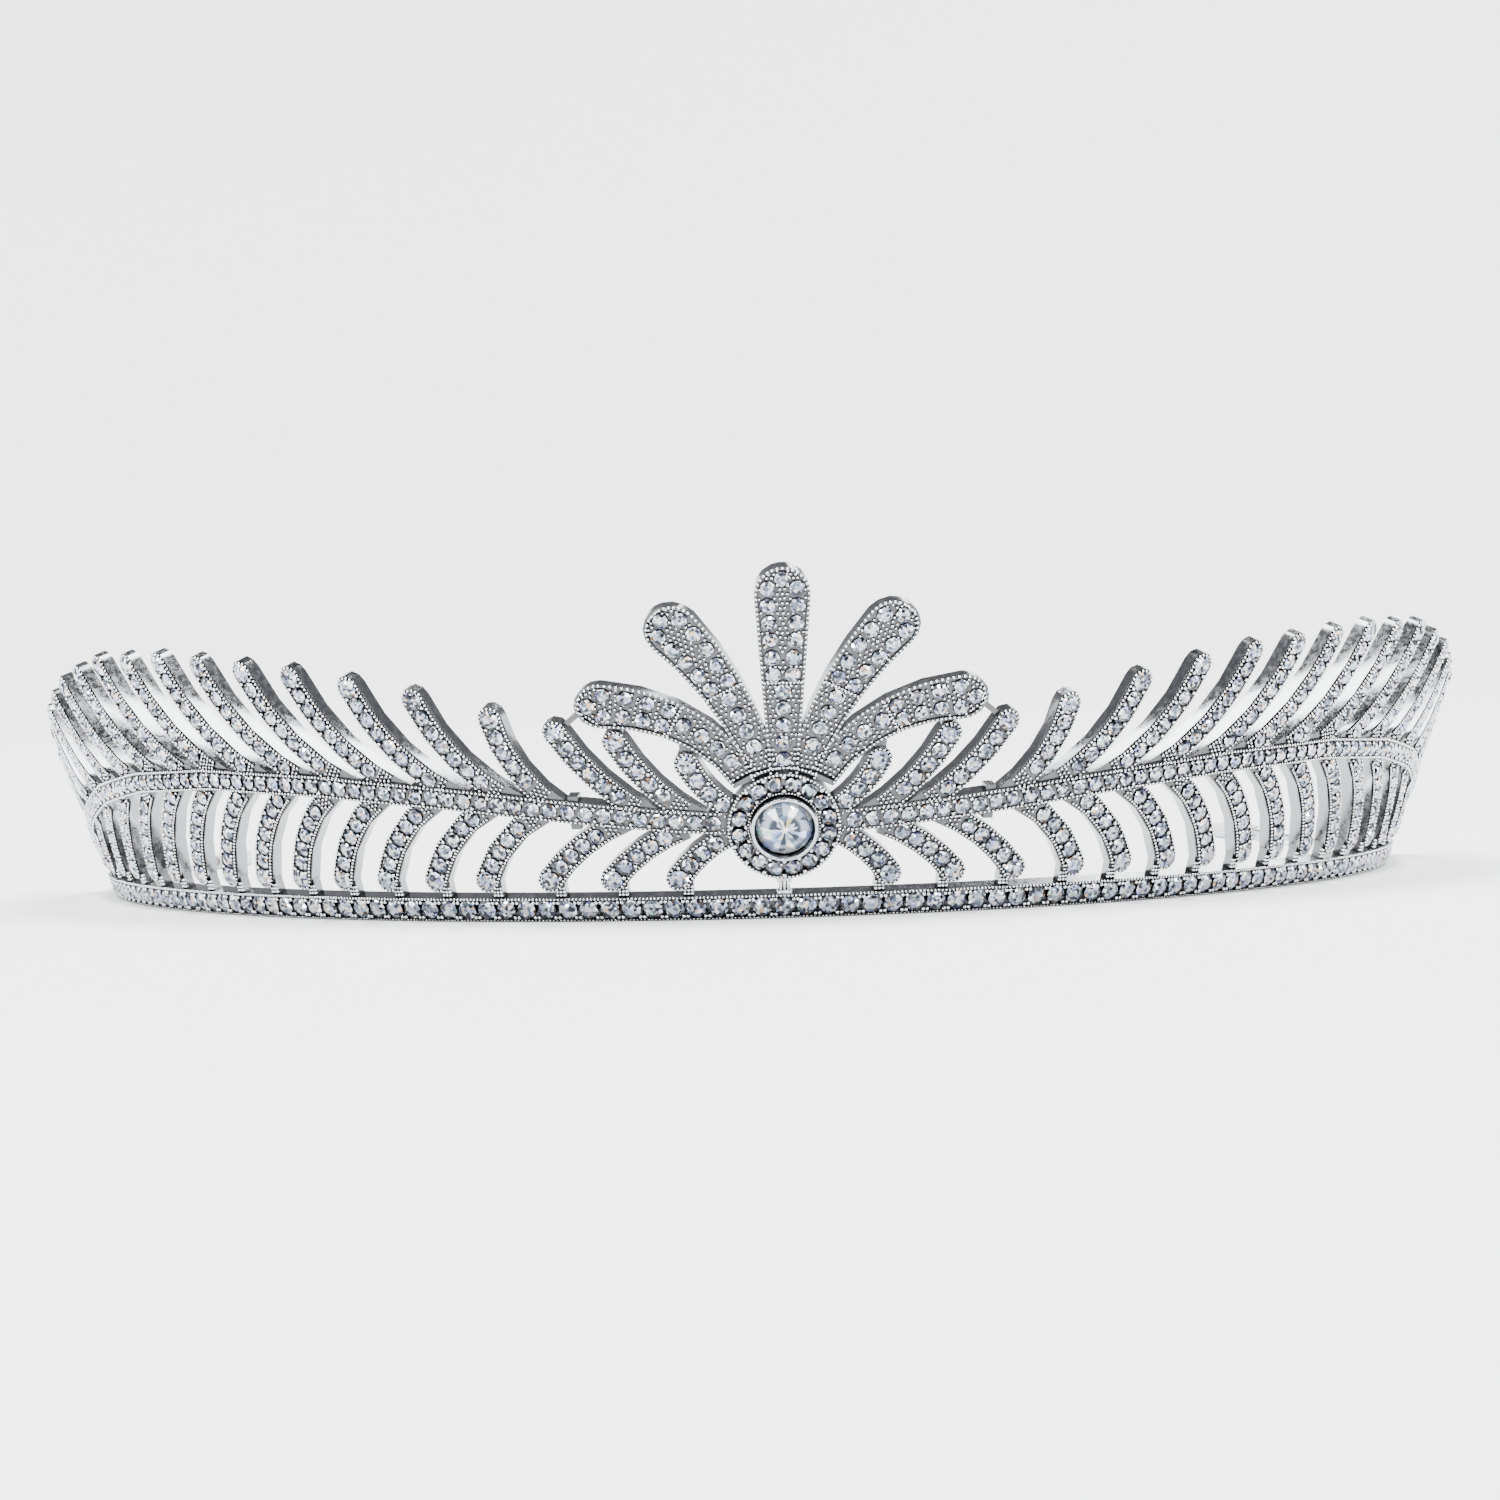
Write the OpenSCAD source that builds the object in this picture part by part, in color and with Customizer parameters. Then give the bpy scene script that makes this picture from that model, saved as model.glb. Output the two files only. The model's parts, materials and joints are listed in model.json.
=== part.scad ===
/* [Band] */
// Radius of the band's front arc
front_r = 64; // [60:1:72]
// Half of the front arc, in degrees
front_turn = 36; // [30:1:40]
// Radius of each side arc
side_r = 76; // [70:1:84]
// Turn of each side arc, in degrees
side_turn = 61; // [56:1:64]
// Outward lean of the band, in degrees
flare = 20; // [14:1:24]
// Height of the base bar along the lean
bar_h = 2.75; // [2.5:0.05:3]
// Thickness of the base bar
bar_t = 1.5; // [1.3:0.1:1.8]

/* [Sprays] */
// Leaf pairs on each side casting
side_pairs = 16; // [14:1:16]
// Distance between leaf pairs along the bar
pair_pitch = 5.5; // [5.3:0.1:5.6]
// Place of the first side pair's lower tip
first_tip = 28.5; // [28:0.1:29.5]
// Width of a leaf
leaf_w = 2.5; // [2.2:0.1:2.6]
// Width of the spine
spine_w = 2.3; // [2:0.1:2.6]
// Front of the cast metal before the band surface
cast_front = 0.65; // [0.6:0.05:0.75]
// Back of the cast metal behind the band surface
cast_back = 0.65; // [0.5:0.05:0.75]
// Height of the centre of a lower leaf's round tip
lower_tip_h = 4.6; // [4.4:0.1:4.8]

/* [Centre] */
// Height of the main stone's centre along the lean
halo_h = 9.9; // [9.7:0.1:10.1]
// Outer radius of the halo
halo_r = 5.45; // [5.3:0.05:5.6]
// Number of halo stones
halo_stones_n = 16; // [14:1:16]
// Radius of the main stone
main_r = 2.75; // [2.5:0.05:2.8]
// Outer radius of the bezel
bezel_r = 3.2; // [3.1:0.05:3.25]
// Raised rim of a plume
plume_rim = 0.3; // [0.28:0.01:0.5]

/* [Stones] */
// Radius of a bar stone
bar_stone_r = 0.88; // [0.7:0.02:0.88]
// Distance between bar stones
bar_stone_pitch = 2.08; // [2:0.01:2.3]
// Radius of a halo stone
halo_stone_r = 0.74; // [0.6:0.02:0.76]
// Radius of a plume stone
plume_stone_r = 0.76; // [0.6:0.02:0.8]
// Distance between plume stones along a plume
plume_stone_pitch = 1.74; // [1.7:0.02:2]
// Clear space under and beside a stone
stone_gap = 0.15; // [0.12:0.01:0.2]

/* [Headband and ends] */
// Radial width of the inner headband
gallery_w = 1.3; // [1.1:0.1:1.5]
// Height of the inner headband
gallery_h = 1.5; // [1.3:0.1:1.6]
// Slit between the bar and the inner headband
slit = 0.35; // [0.3:0.05:0.5]
// Length of the bar beyond the end clips
bar_tail = 6; // [5:0.5:7]
// Length of an end wire from its clip to the loop
wire_len = 44; // [38:1:50]
// Radius of the end wire
wire_r = 0.4; // [0.35:0.05:0.5]
// Inward lean of an end wire, in degrees
wire_in = 9; // [5:1:12]
// Length of a loop cover
cover_len = 9; // [8:0.5:11]

/* [Hidden] */

METAL = [0.86, 0.87, 0.9];
STONE = [0.84, 0.9, 1];
PLASTIC = [0.96, 0.96, 0.95];

// Names of the columns in the tables below
S = 0;
H = 1;
TIP_H = 2;
TIP_SHIFT = 3;

// Height of the spine and of the upper leaf tips along the band, and how far
// an upper tip stands towards the front from the lower tip of its pair
PROFILE = [
    [0, 9.9, 15.0, 0],
    [10, 10.6, 17.2, -1.6],
    [20, 11.8, 20.0, -3.1],
    [29, 13.0, 22.4, -3.1],
    [34.5, 13.6, 24.1, -1.5],
    [45, 14.6, 26.0, -0.3],
    [60, 15.2, 27.6, 0],
    [73, 14.6, 27.3, 0],
    [84, 13.0, 24.8, 0],
    [95, 10.2, 21.4, 0],
    [105, 6.6, 17.0, 0],
    [112, 3.7, 12.0, 0],
    [121, 2.4, 6.0, 0]];

// Leaves of the centre casting on one side: root and tip, as [place, height]
ROOT_S = 0;
ROOT_H = 1;
TIP_S = 2;
TIP_TOP = 3;
CENTRE_UPPER = [
    [4.6, 11.6, 8.4, 16.4],
    [7.4, 10.6, 14.5, 18.8],
    [11.4, 10.8, 19.7, 19.9]];
CENTRE_LOWER = [
    [5.0, 8.9, 9.8, 4.6],
    [8.8, 9.8, 16.0, 4.6],
    [14.0, 10.8, 22.1, 4.6]];

// Plumes of the fan on one side, from the root to the centre of the round
// end, with the turn of the arc, the half widths at both ends and how far
// the metal stands out in front
TURN = 4;
ROOT_W = 5;
TIP_W = 6;
FRONT_D = 7;
CENTRE_PLUME = [0, 15.0, 0, 33.5, 0.01, 1.35, 2.66, 0.8];
SIDE_PLUMES = [
    [1.6, 14.9, 8.9, 29.9, -24, 1.3, 2.6, 0.7],
    [3.2, 14.4, 15.5, 22.5, -62, 1.4, 2.25, 0.6]];

// Outlines of a round end: how far ahead of its centre, and how wide, as parts
// of the half width
LEAF_END = [[0.6, 0.8], [1, 0.28]];
PLUME_END = [[0.38, 0.925], [0.71, 0.71], [0.92, 0.4], [1, 0.12]];

upper_turn = 47;
lower_turn = -42;
leaf_steps = 4;
plume_steps = 5;
halo_sides = 32;
halo_proud = 0.25;
arc_groove_turn = 60;
arc_groove_w = 0.26;
arc_groove_floor = 0.3;
plume_depth = 0.55;
pair_part = 0.45;
bar_step = 4.8;
spine_bend = -3.2;
upper_run = 10.6;
lower_run = 7.8;
bar_seam = 21.84;
spine_seam = 18.3;
seam_gap = 0.05;
peg_w = 1;
peg_sink = 0.19;
spine_proud = 0.12;
groove_wall = 0.25;
groove_floor = 0.1;
crown = 0.27;
pavilion = 0.45;
bracket_places = [38, 74];
bracket_len = 3;
clip_len = 4;
prong_h = 3.4;
prong_w = 0.9;
clip_inward = 0.5;
collar_inward = 0.3;
wire_standoff = 0.25;
cover_wall = 0.35;
cover_hole_r = 0.3;
stone_spacing = 0.12;
leg_gap = 1.6;
weld_gap = 0.13;
gallery_lift = 0.12;
tab_rise = 1.35;

front_len = front_r * front_turn * PI / 180;
side_len = side_r * side_turn * PI / 180;
band_len = front_len + side_len;
clip_s = band_len - bar_tail;
side_c = [(front_r - side_r) * sin(front_turn),
          front_r + (side_r - front_r) * cos(front_turn)];
gallery_out = -bar_t / 2 / cos(flare) - slit;
gallery_mid = gallery_out - gallery_w / 2;

// Direction of the ring at a place s along it, in degrees
function turn_at(s) = s < front_len ? s / front_r * 180 / PI
    : front_turn + (s - front_len) / side_r * 180 / PI;

// Point of the ring at s, as [x, y]
function ring_at(s) = let (t = turn_at(s))
    s < front_len ? [front_r * sin(t), front_r * (1 - cos(t))]
    : side_c + side_r * [sin(t), -cos(t)];

// Point of the leaning band: s along the ring, h up the lean, d outwards
function band_at(s, h, d) = let (t = turn_at(s), c = ring_at(s),
    out = h * sin(flare) + d * cos(flare))
    [c.x + out * sin(t), c.y - out * cos(t), h * cos(flare) - d * sin(flare)];

// How much longer the band is at height h than at its foot
function stretch(s, h) = 1 + h * sin(flare) / (s < front_len ? front_r : side_r);

function profile(s, column) = lookup(s, [for (row = PROFILE) [row[S], row[column]]]);

// Place at a part t of the way along an arc from a to b that turns by the
// given angle, as [s, h, direction]
function arc_place(a, b, turn, t) = let (
    chord = b - a,
    r = norm(chord) / 2 / sin(turn / 2),
    start = atan2(chord.y, chord.x) - turn / 2,
    dir = start + turn * t)
    [a.x + r * (sin(dir) - sin(start)), a.y - r * (cos(dir) - cos(start)), dir];

function arc_path(a, b, turn, steps) = [for (i = [0:steps]) arc_place(a, b, turn, i / steps)];

// Straight length of a plume, and its middle and half width at a part t of it
function plume_run(row) = norm([row[TIP_S] - row[ROOT_S], row[TIP_TOP] - row[ROOT_H]]);
function plume_place(row, t) = arc_place([row[ROOT_S], row[ROOT_H]], [row[TIP_S], row[TIP_TOP]],
                                         row[TURN], t);
function plume_w(row, t) = row[ROOT_W] + (row[TIP_W] - row[ROOT_W]) * min(1, t);

// Cross-section of a blade with half width w at place p of its path
function blade_section(p, w, back, front) = let (
    ds = -sin(p[2]) * w / stretch(p[0], p[1]),
    dh = cos(p[2]) * w)
    [band_at(p[0] + ds, p[1] + dh, front), band_at(p[0] - ds, p[1] - dh, front),
     band_at(p[0] - ds, p[1] - dh, back), band_at(p[0] + ds, p[1] + dh, back)];

function moved(p, by) = [p[0] + by * cos(p[2]), p[1] + by * sin(p[2]), p[2]];

// A solid skinned over equal rings of points
module skin(rings) {
    n = len(rings[0]);
    m = len(rings);
    walls = [for (i = [0:m - 2], j = [0:n - 1])
        let (a = i * n + j, b = i * n + (j + 1) % n)
        each [[a, b + n, b], [a, a + n, b + n]]];
    polyhedron(
        points = [for (ring = rings) each ring],
        faces = concat([[for (j = [0:n - 1]) j]], walls,
                       [[for (j = [n - 1:-1:0]) (m - 1) * n + j]]),
        convexity = 10);
}

// A curved blade with a round far end
module blade(a, b, turn, w0, w1, steps, back = -cast_back, front = cast_front, end = LEAF_END) {
    path = arc_path(a, b, turn, steps);
    skin(concat(
        [for (i = [0:steps]) blade_section(path[i], w0 + (w1 - w0) * i / steps, back, front)],
        [for (e = end) blade_section(moved(path[steps], w1 * e[0]), w1 * e[1], back, front)]));
}

// Puts a child drawn flat onto the band, with its Z outwards
module on_band(s, h, d = 0) {
    translate([ring_at(s).x, ring_at(s).y, 0])
        rotate([0, 0, turn_at(s)])
            rotate([90 + flare, 0, 0])
                translate([0, h, d])
                    children();
}

// A short square post between two places on the band
module peg(a, b, w = peg_w) {
    hull() skin([for (p = [a, b])
        [for (c = [[1, 1], [1, -1], [-1, -1], [-1, 1]])
            band_at(p.x + c.x * w / 2, p.y, c.y * w * 0.45)]]);
}

// Places from one end of a swept piece to the other: between them the piece
// bends only midway between two leaf pairs
function bends(from, to, shift) = concat([from],
    [for (k = [-1:side_pairs]) let (s = pair_s(k) + shift)
        if (s > from + 1 && s < to - 1) s],
    [to]);

// Places that divide the front of the band evenly
function even(from, to) = let (steps = ceil((to - from) / bar_step))
    [for (i = [0:steps]) from + (to - from) * i / steps];

// The base bar with its channel for stones, flat underneath
module bar(places) {
    t = bar_t / 2;
    sole = tan(flare) * t;
    section = [[bar_h, t], [bar_h - groove_wall, t], [bar_h - groove_wall - 0.05, groove_floor],
        [groove_wall + sole + 0.05, groove_floor], [groove_wall + sole, t], [sole, t],
        [-sole, -t], [bar_h, -t]];
    skin([for (s = places) [for (p = section) band_at(s, p.x, p.y)]]);
}

// The spine that carries the leaves, a little proud of them
module spine(places) {
    front = cast_front + spine_proud;
    back = -cast_back - spine_proud;
    w = spine_w / 2;
    skin([for (s = places) let (h = profile(s, H))
        [band_at(s, h + w, front), band_at(s, h - w, front),
         band_at(s, h - w, back), band_at(s, h + w, back)]]);
}

function pair_s(k) = first_tip + k * pair_pitch;

// One pair of leaves of a side casting, and the peg under it: towards the
// end the leaves shorten, until the spine itself stands on the bar
module leaf_pair(k) {
    low = pair_s(k);
    up = low + profile(low, TIP_SHIFT);
    up_run = upper_run * min(1, (profile(up, TIP_H) - profile(up, H)) / 12);
    up_root = max(up - up_run, spine_seam + 1.6);
    size = k > side_pairs - 4 ? 1 - 0.06 * (k - side_pairs + 4) : 1;
    w = leaf_w / 2 * size;
    blade([up_root, profile(up_root, H)], [up, profile(up, TIP_H)], upper_turn,
          w * 0.85, w, leaf_steps, leaf_back(k), leaf_front(k));
    reach = profile(low, H) - lower_tip_h;
    if (reach > 2.4) {
        low_root = low - lower_run * min(1, reach / 9);
        blade([low_root, profile(low_root, H)], [low, lower_tip_h], lower_turn,
              w * 0.85, w, leaf_steps - 1, leaf_back(k), leaf_front(k));
        peg([low - 0.8, bar_h - peg_sink], [low - 0.8, lower_tip_h - 0.1]);
    } else if (reach > 0) {
        peg([low - 0.8, bar_h - peg_sink], [low - 0.8, profile(low - 0.8, H) - 0.5]);
    }
}

// Neighbouring leaves differ a little in thickness
function leaf_front(k) = cast_front - 0.05 * (k % 2);
function leaf_back(k) = -cast_back + 0.05 * (k % 2);

module side_casting() {
    bar(bends(bar_seam + seam_gap, band_len, 1.9));
    spine(bends(spine_seam + seam_gap, pair_s(side_pairs - 1) + 1.5, spine_bend));
    for (k = [0:side_pairs - 1]) leaf_pair(k);
    for (side = [-1, 1])
        on_band(spine_seam + 0.6, profile(spine_seam, H) + side * tab_rise)
            cube([1, 0.7, 1.2], center = true);
}

module right_casting() {
    color(METAL) union() side_casting();
}

module left_casting() {
    color(METAL) mirror([1, 0, 0]) union() side_casting();
}

module row_blade(row, turn, w) {
    blade([row[ROOT_S], row[ROOT_H]], [row[TIP_S], row[TIP_TOP]], turn, w * 0.85, w, leaf_steps);
}

// A plume's metal, or with an inset the recess for its stones
module plume(row, inset = 0) {
    run = plume_run(row);
    skipped = inset * 1.6 / run;
    from = plume_place(row, skipped);
    back = inset > 0 ? row[FRONT_D] - plume_depth : -cast_back;
    blade([from[0], from[1]], [row[TIP_S], row[TIP_TOP]], row[TURN] * (1 - skipped),
          plume_w(row, skipped) - inset, row[TIP_W] - inset, plume_steps,
          back, row[FRONT_D] + (inset > 0 ? 1 : 0), PLUME_END);
}

module plumes(inset = 0) {
    plume(CENTRE_PLUME, inset);
    for (row = SIDE_PLUMES) {
        plume(row, inset);
        mirror([1, 0, 0]) plume(row, inset);
    }
}

// Half of the centre casting, without the halo
module centre_half() {
    spine(even(4, spine_seam));
    for (row = CENTRE_UPPER) row_blade(row, upper_turn * 0.7, leaf_w / 2);
    for (row = CENTRE_LOWER) {
        row_blade(row, lower_turn * 0.7, leaf_w / 2);
        peg([row[TIP_S] - 0.8, bar_h - peg_sink], [row[TIP_S] - 0.8, row[TIP_TOP] - 0.4]);
    }
    peg([8.5, 16.8], [8.5, 19]);
    peg([14.3, 19.2], [14.3, 21.2]);
    peg([19, 20.4], [17.3, 21.9], 0.8);
}

// The halo's metal around the main stone
module halo_plate() {
    on_band(0, halo_h, -cast_back)
        cylinder(r = halo_r, h = cast_back + cast_front + halo_proud, $fn = halo_sides);
}

module halo_hollows() {
    mid = (bezel_r + halo_r) / 2 + 0.03;
    half = halo_stone_r + stone_gap;
    on_band(0, halo_h, -2) cylinder(r = bezel_r + 0.08, h = 4, $fn = halo_sides);
    on_band(0, halo_h, groove_floor + halo_proud)
        difference() {
            cylinder(r = mid + half, h = 2, $fn = halo_sides);
            translate([0, 0, -1]) cylinder(r = mid - half, h = 4, $fn = halo_sides);
        }
    on_band(0, halo_h, arc_groove_floor)
        rotate([0, 0, 90 - arc_groove_turn / 2])
            rotate_extrude(angle = arc_groove_turn, $fn = 72)
                translate([halo_r + 0.02, 0]) square([arc_groove_w, 2]);
}

module centre_casting() {
    color(METAL) difference() {
        union() {
            bar(even(-bar_seam, bar_seam));
            centre_half();
            mirror([1, 0, 0]) centre_half();
            plumes();
            halo_plate();
            peg([0, bar_h - peg_sink], [0, halo_h - halo_r + 0.3]);
        }
        halo_hollows();
        plumes(plume_rim);
    }
}

module gallery_section() {
    c = 0.3;
    w = gallery_w / 2;
    translate([0, gallery_lift])
        polygon([[-w + c, 0], [w - c, 0], [w, c], [w, gallery_h - c],
                 [w - c, gallery_h], [-w + c, gallery_h], [-w, gallery_h - c], [-w, c]]);
}

// A collar round the headband at a place on the ring
module collar(s, length, inward = collar_inward) {
    translate([ring_at(s).x, ring_at(s).y, 0])
        rotate([0, 0, turn_at(s)])
            translate([-length / 2, weld_gap - gallery_out - slit, 0])
                cube([length, gallery_w + slit - weld_gap + inward, gallery_h + 2 * gallery_lift]);
}

module gallery_side() {
    translate([side_c.x, side_c.y, 0])
        rotate([0, 0, front_turn - 90])
            rotate_extrude(angle = turn_at(clip_s - 1) - front_turn, $fn = 180)
                translate([side_r + gallery_mid, 0]) gallery_section();
    for (s = bracket_places) collar(s, bracket_len);
    collar(clip_s - clip_len / 2, clip_len, clip_inward);
    translate([ring_at(clip_s).x, ring_at(clip_s).y, 0])
        rotate([0, 0, turn_at(clip_s)])
            translate([-2 * prong_w, clip_inward - gallery_out + gallery_w - prong_w, 0])
                cube([prong_w, prong_w, prong_h]);
}

module gallery_band() {
    color(METAL) union() {
        translate([0, front_r, 0])
            rotate([0, 0, -front_turn - 90])
                rotate_extrude(angle = 2 * front_turn, $fn = 180)
                    translate([front_r + gallery_mid, 0]) gallery_section();
        collar(0, bracket_len);
        gallery_side();
        mirror([1, 0, 0]) gallery_side();
    }
}

// Places a child at the end of the right end clip, with X along the wire
module at_clip() {
    c = ring_at(clip_s);
    t = turn_at(clip_s);
    translate([c.x + gallery_mid * sin(t), c.y - gallery_mid * cos(t), gallery_h / 2 + gallery_lift])
        rotate([0, 0, 90 + wire_in])
            translate([wire_standoff, 0, 0])
                children();
}

// The end wire with its doubled-back loop, or with some room the space for it
module wire_path(room = 0) {
    r = wire_r + room;
    back_leg = cover_len * 0.55 + room;
    rotate([0, 90, 0]) cylinder(r = r, h = wire_len, $fn = 24);
    translate([wire_len, leg_gap / 2, 0])
        rotate([0, 0, -90])
            rotate_extrude(angle = 180, $fn = 24)
                translate([leg_gap / 2, 0])
                    circle(r = r, $fn = 24);
    translate([wire_len - back_leg, leg_gap, 0])
        rotate([0, 90, 0]) cylinder(r = r, h = back_leg, $fn = 24);
}

module cover_outline() {
    big = leg_gap / 2 + wire_r + cover_wall;
    translate([wire_len, leg_gap / 2]) circle(r = big, $fn = 48);
    polygon([[wire_len - cover_len, -wire_r - cover_wall], [wire_len, leg_gap / 2 - big],
             [wire_len, leg_gap / 2 + big], [wire_len - cover_len / 2, leg_gap / 2 + big],
             [wire_len - cover_len, wire_r + cover_wall]]);
}

module loop_cover() {
    half = wire_r + cover_wall;
    difference() {
        translate([0, 0, -half])
            linear_extrude(2 * half)
                difference() {
                    cover_outline();
                    translate([wire_len - 0.6, leg_gap / 2]) circle(r = cover_hole_r, $fn = 24);
                }
        wire_path(seam_gap);
    }
}

module right_end_wire() {
    color(METAL) at_clip() wire_path();
}

module left_end_wire() {
    color(METAL) mirror([1, 0, 0]) at_clip() wire_path();
}

module right_loop_cover() {
    color(PLASTIC) at_clip() loop_cover();
}

module left_loop_cover() {
    color(PLASTIC) mirror([1, 0, 0]) at_clip() loop_cover();
}

// The smooth setting round the main stone
module bezel() {
    top = cast_front + 1;
    color(METAL) on_band(0, halo_h, -0.6)
        rotate_extrude($fn = 96)
            polygon([[1.6, 0], [bezel_r, 0], [bezel_r, top + 0.35], [bezel_r - 0.12, top + 0.6],
                     [bezel_r - 0.3, top + 0.6], [main_r + 0.06, top + 0.3],
                     [main_r + 0.06, top - 0.1], [1.6, 0.5]]);
}

// A cut stone with its girdle at Z 0: a table, a ring of crown facets,
// and a pavilion that comes to a point
module gem(r, table, up, down) {
    n = 8;
    ring = [for (i = [0:n - 1]) r * [cos(360 / n * i), sin(360 / n * i)]];
    top = [for (i = [0:n - 1]) r * table * [cos(360 / n * (i + 0.5)), sin(360 / n * (i + 0.5))]];
    hull() polyhedron(
        points = concat([for (p = ring) [p.x, p.y, 0]], [for (p = top) [p.x, p.y, up]],
                        [[0, 0, -down]]),
        faces = concat(
            [[for (i = [n - 1:-1:0]) n + i]],
            [for (i = [0:n - 1]) [i, n + i, (i + 1) % n]],
            [for (i = [0:n - 1]) [n + i, n + (i + 1) % n, (i + 1) % n]],
            [for (i = [0:n - 1]) [(i + 1) % n, 2 * n, i]]));
}

// A small stone with its girdle at Z 0, cut with a square table, eight crown
// facets and eight pavilion facets
module small_gem(r) {
    n = 8;
    m = 4;
    ring = [for (i = [0:n - 1]) r * [cos(360 / n * i), sin(360 / n * i)]];
    top = [for (i = [0:m - 1]) let (a = 360 / n * (2 * i + 0.5)) r * 0.64 * [cos(a), sin(a)]];
    polyhedron(
        points = concat([for (p = ring) [p.x, p.y, 0]], [for (p = top) [p.x, p.y, crown]],
                        [[0, 0, -pavilion]]),
        faces = concat(
            [[for (i = [m - 1:-1:0]) n + i]],
            [for (i = [0:m - 1]) [2 * i, n + i, 2 * i + 1]],
            [for (i = [0:m - 1]) [2 * i + 1, n + i, n + (i + 1) % m, (2 * i + 2) % n]],
            [for (i = [0:n - 1]) [(i + 1) % n, n + m, i]]));
}

module main_stone() {
    color(STONE) on_band(0, halo_h, cast_front + 0.42) {
        gem(main_r, 0.58, 0.75, 1.35);
    }
}

// Height of a small stone's girdle over the band surface
girdle_d = groove_floor + stone_gap + pavilion;

module halo_stones() {
    mid = (bezel_r + halo_r) / 2 + 0.03;
    color(STONE) on_band(0, halo_h, girdle_d + halo_proud)
        union() for (i = [0:halo_stones_n - 1])
            rotate([0, 0, 360 / halo_stones_n * (i + 0.5)])
                translate([mid, 0, 0])
                    small_gem(halo_stone_r);
}

// Stones of one plume: one at the round end, a row along each edge where the
// plume is wide, and one row below
module plume_field(row) {
    run = plume_run(row);
    wall = plume_rim + stone_spacing;
    apex = row[TIP_W] - wall - plume_stone_r;
    near = plume_stone_pitch * 0.96;
    swing = near < apex * sqrt(2) ? 2 * asin(near / 2 / apex) : 90;
    first = swing < 90 ? apex * cos(swing) : apex - sqrt(near * near - apex * apex);
    pairs = floor((first + pair_part * run) / plume_stone_pitch);
    rest = first - (pairs + 0.95) * plume_stone_pitch;
    singles = floor((run + rest - 1.55) / plume_stone_pitch);
    plume_gem(row, 1 + apex / run, 0, plume_stone_r);
    for (i = [0:pairs], side = [-1, 1]) {
        t = 1 + (first - i * plume_stone_pitch) / run;
        r = min(plume_stone_r, (plume_w(row, t) - wall - stone_spacing / 2) / 2);
        off = i == 0 ? apex * sin(swing) : plume_w(row, t) - wall - r;
        plume_gem(row, t, side * off, r);
    }
    for (i = [0:singles])
        plume_gem(row, 1 + (rest - i * plume_stone_pitch) / run, 0, plume_stone_r);
}

// A stone at a part t of the way up a plume, set off to one side
module plume_gem(row, t, off, r) {
    p = plume_place(row, t);
    d = row[FRONT_D] - plume_depth + stone_gap + pavilion;
    on_band(p[0] - sin(p[2]) * off / stretch(p[0], p[1]), p[1] + cos(p[2]) * off, d)
        small_gem(r);
}

module plume_stones() {
    color(STONE) union() {
        plume_field(CENTRE_PLUME);
        for (row = SIDE_PLUMES) {
            plume_field(row);
            mirror([1, 0, 0]) plume_field(row);
        }
    }
}

// Stones in the bar's channel, one to each pitch between two places
module bar_row(first, last) {
    mid_h = (bar_h + tan(flare) * bar_t / 2) / 2;
    for (i = [first:last])
        on_band(i * bar_stone_pitch, mid_h, girdle_d) small_gem(bar_stone_r);
}

seam_stone = floor((bar_seam - bar_stone_r) / bar_stone_pitch);
end_stone = floor((band_len - bar_stone_r - 0.3) / bar_stone_pitch);

module centre_bar_stones() {
    color(STONE) union() bar_row(-seam_stone, seam_stone);
}

module right_bar_stones() {
    color(STONE) union() bar_row(seam_stone + 1, end_stone);
}

module left_bar_stones() {
    color(STONE) mirror([1, 0, 0]) union() bar_row(seam_stone + 1, end_stone);
}

centre_casting();
left_casting();
right_casting();
gallery_band();
left_end_wire();
right_end_wire();
left_loop_cover();
right_loop_cover();
bezel();
main_stone();
halo_stones();
plume_stones();
centre_bar_stones();
left_bar_stones();
right_bar_stones();
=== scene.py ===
"""Looks of a pave tiara: its stones, beaded edges, plated metal and loop covers.

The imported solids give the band, the leaves, the plumes and the settings. This script
adds the stone rows, the milgrain beads and the finishes, on the same band surface.
Pieces are worked out in millimetres, finishes and the studio in metres, and angles in
radians.
"""

from __future__ import annotations

import json
import logging
import math
import random
from dataclasses import dataclass, field
from enum import Enum
from typing import Iterable, Iterator

import bmesh
import bpy
from bmesh.types import BMEdge, BMesh, BMFace, BMVert
from bpy.types import Material, Mesh, Node, NodeSocket, Object, World
from mathutils import Matrix, Vector

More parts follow.
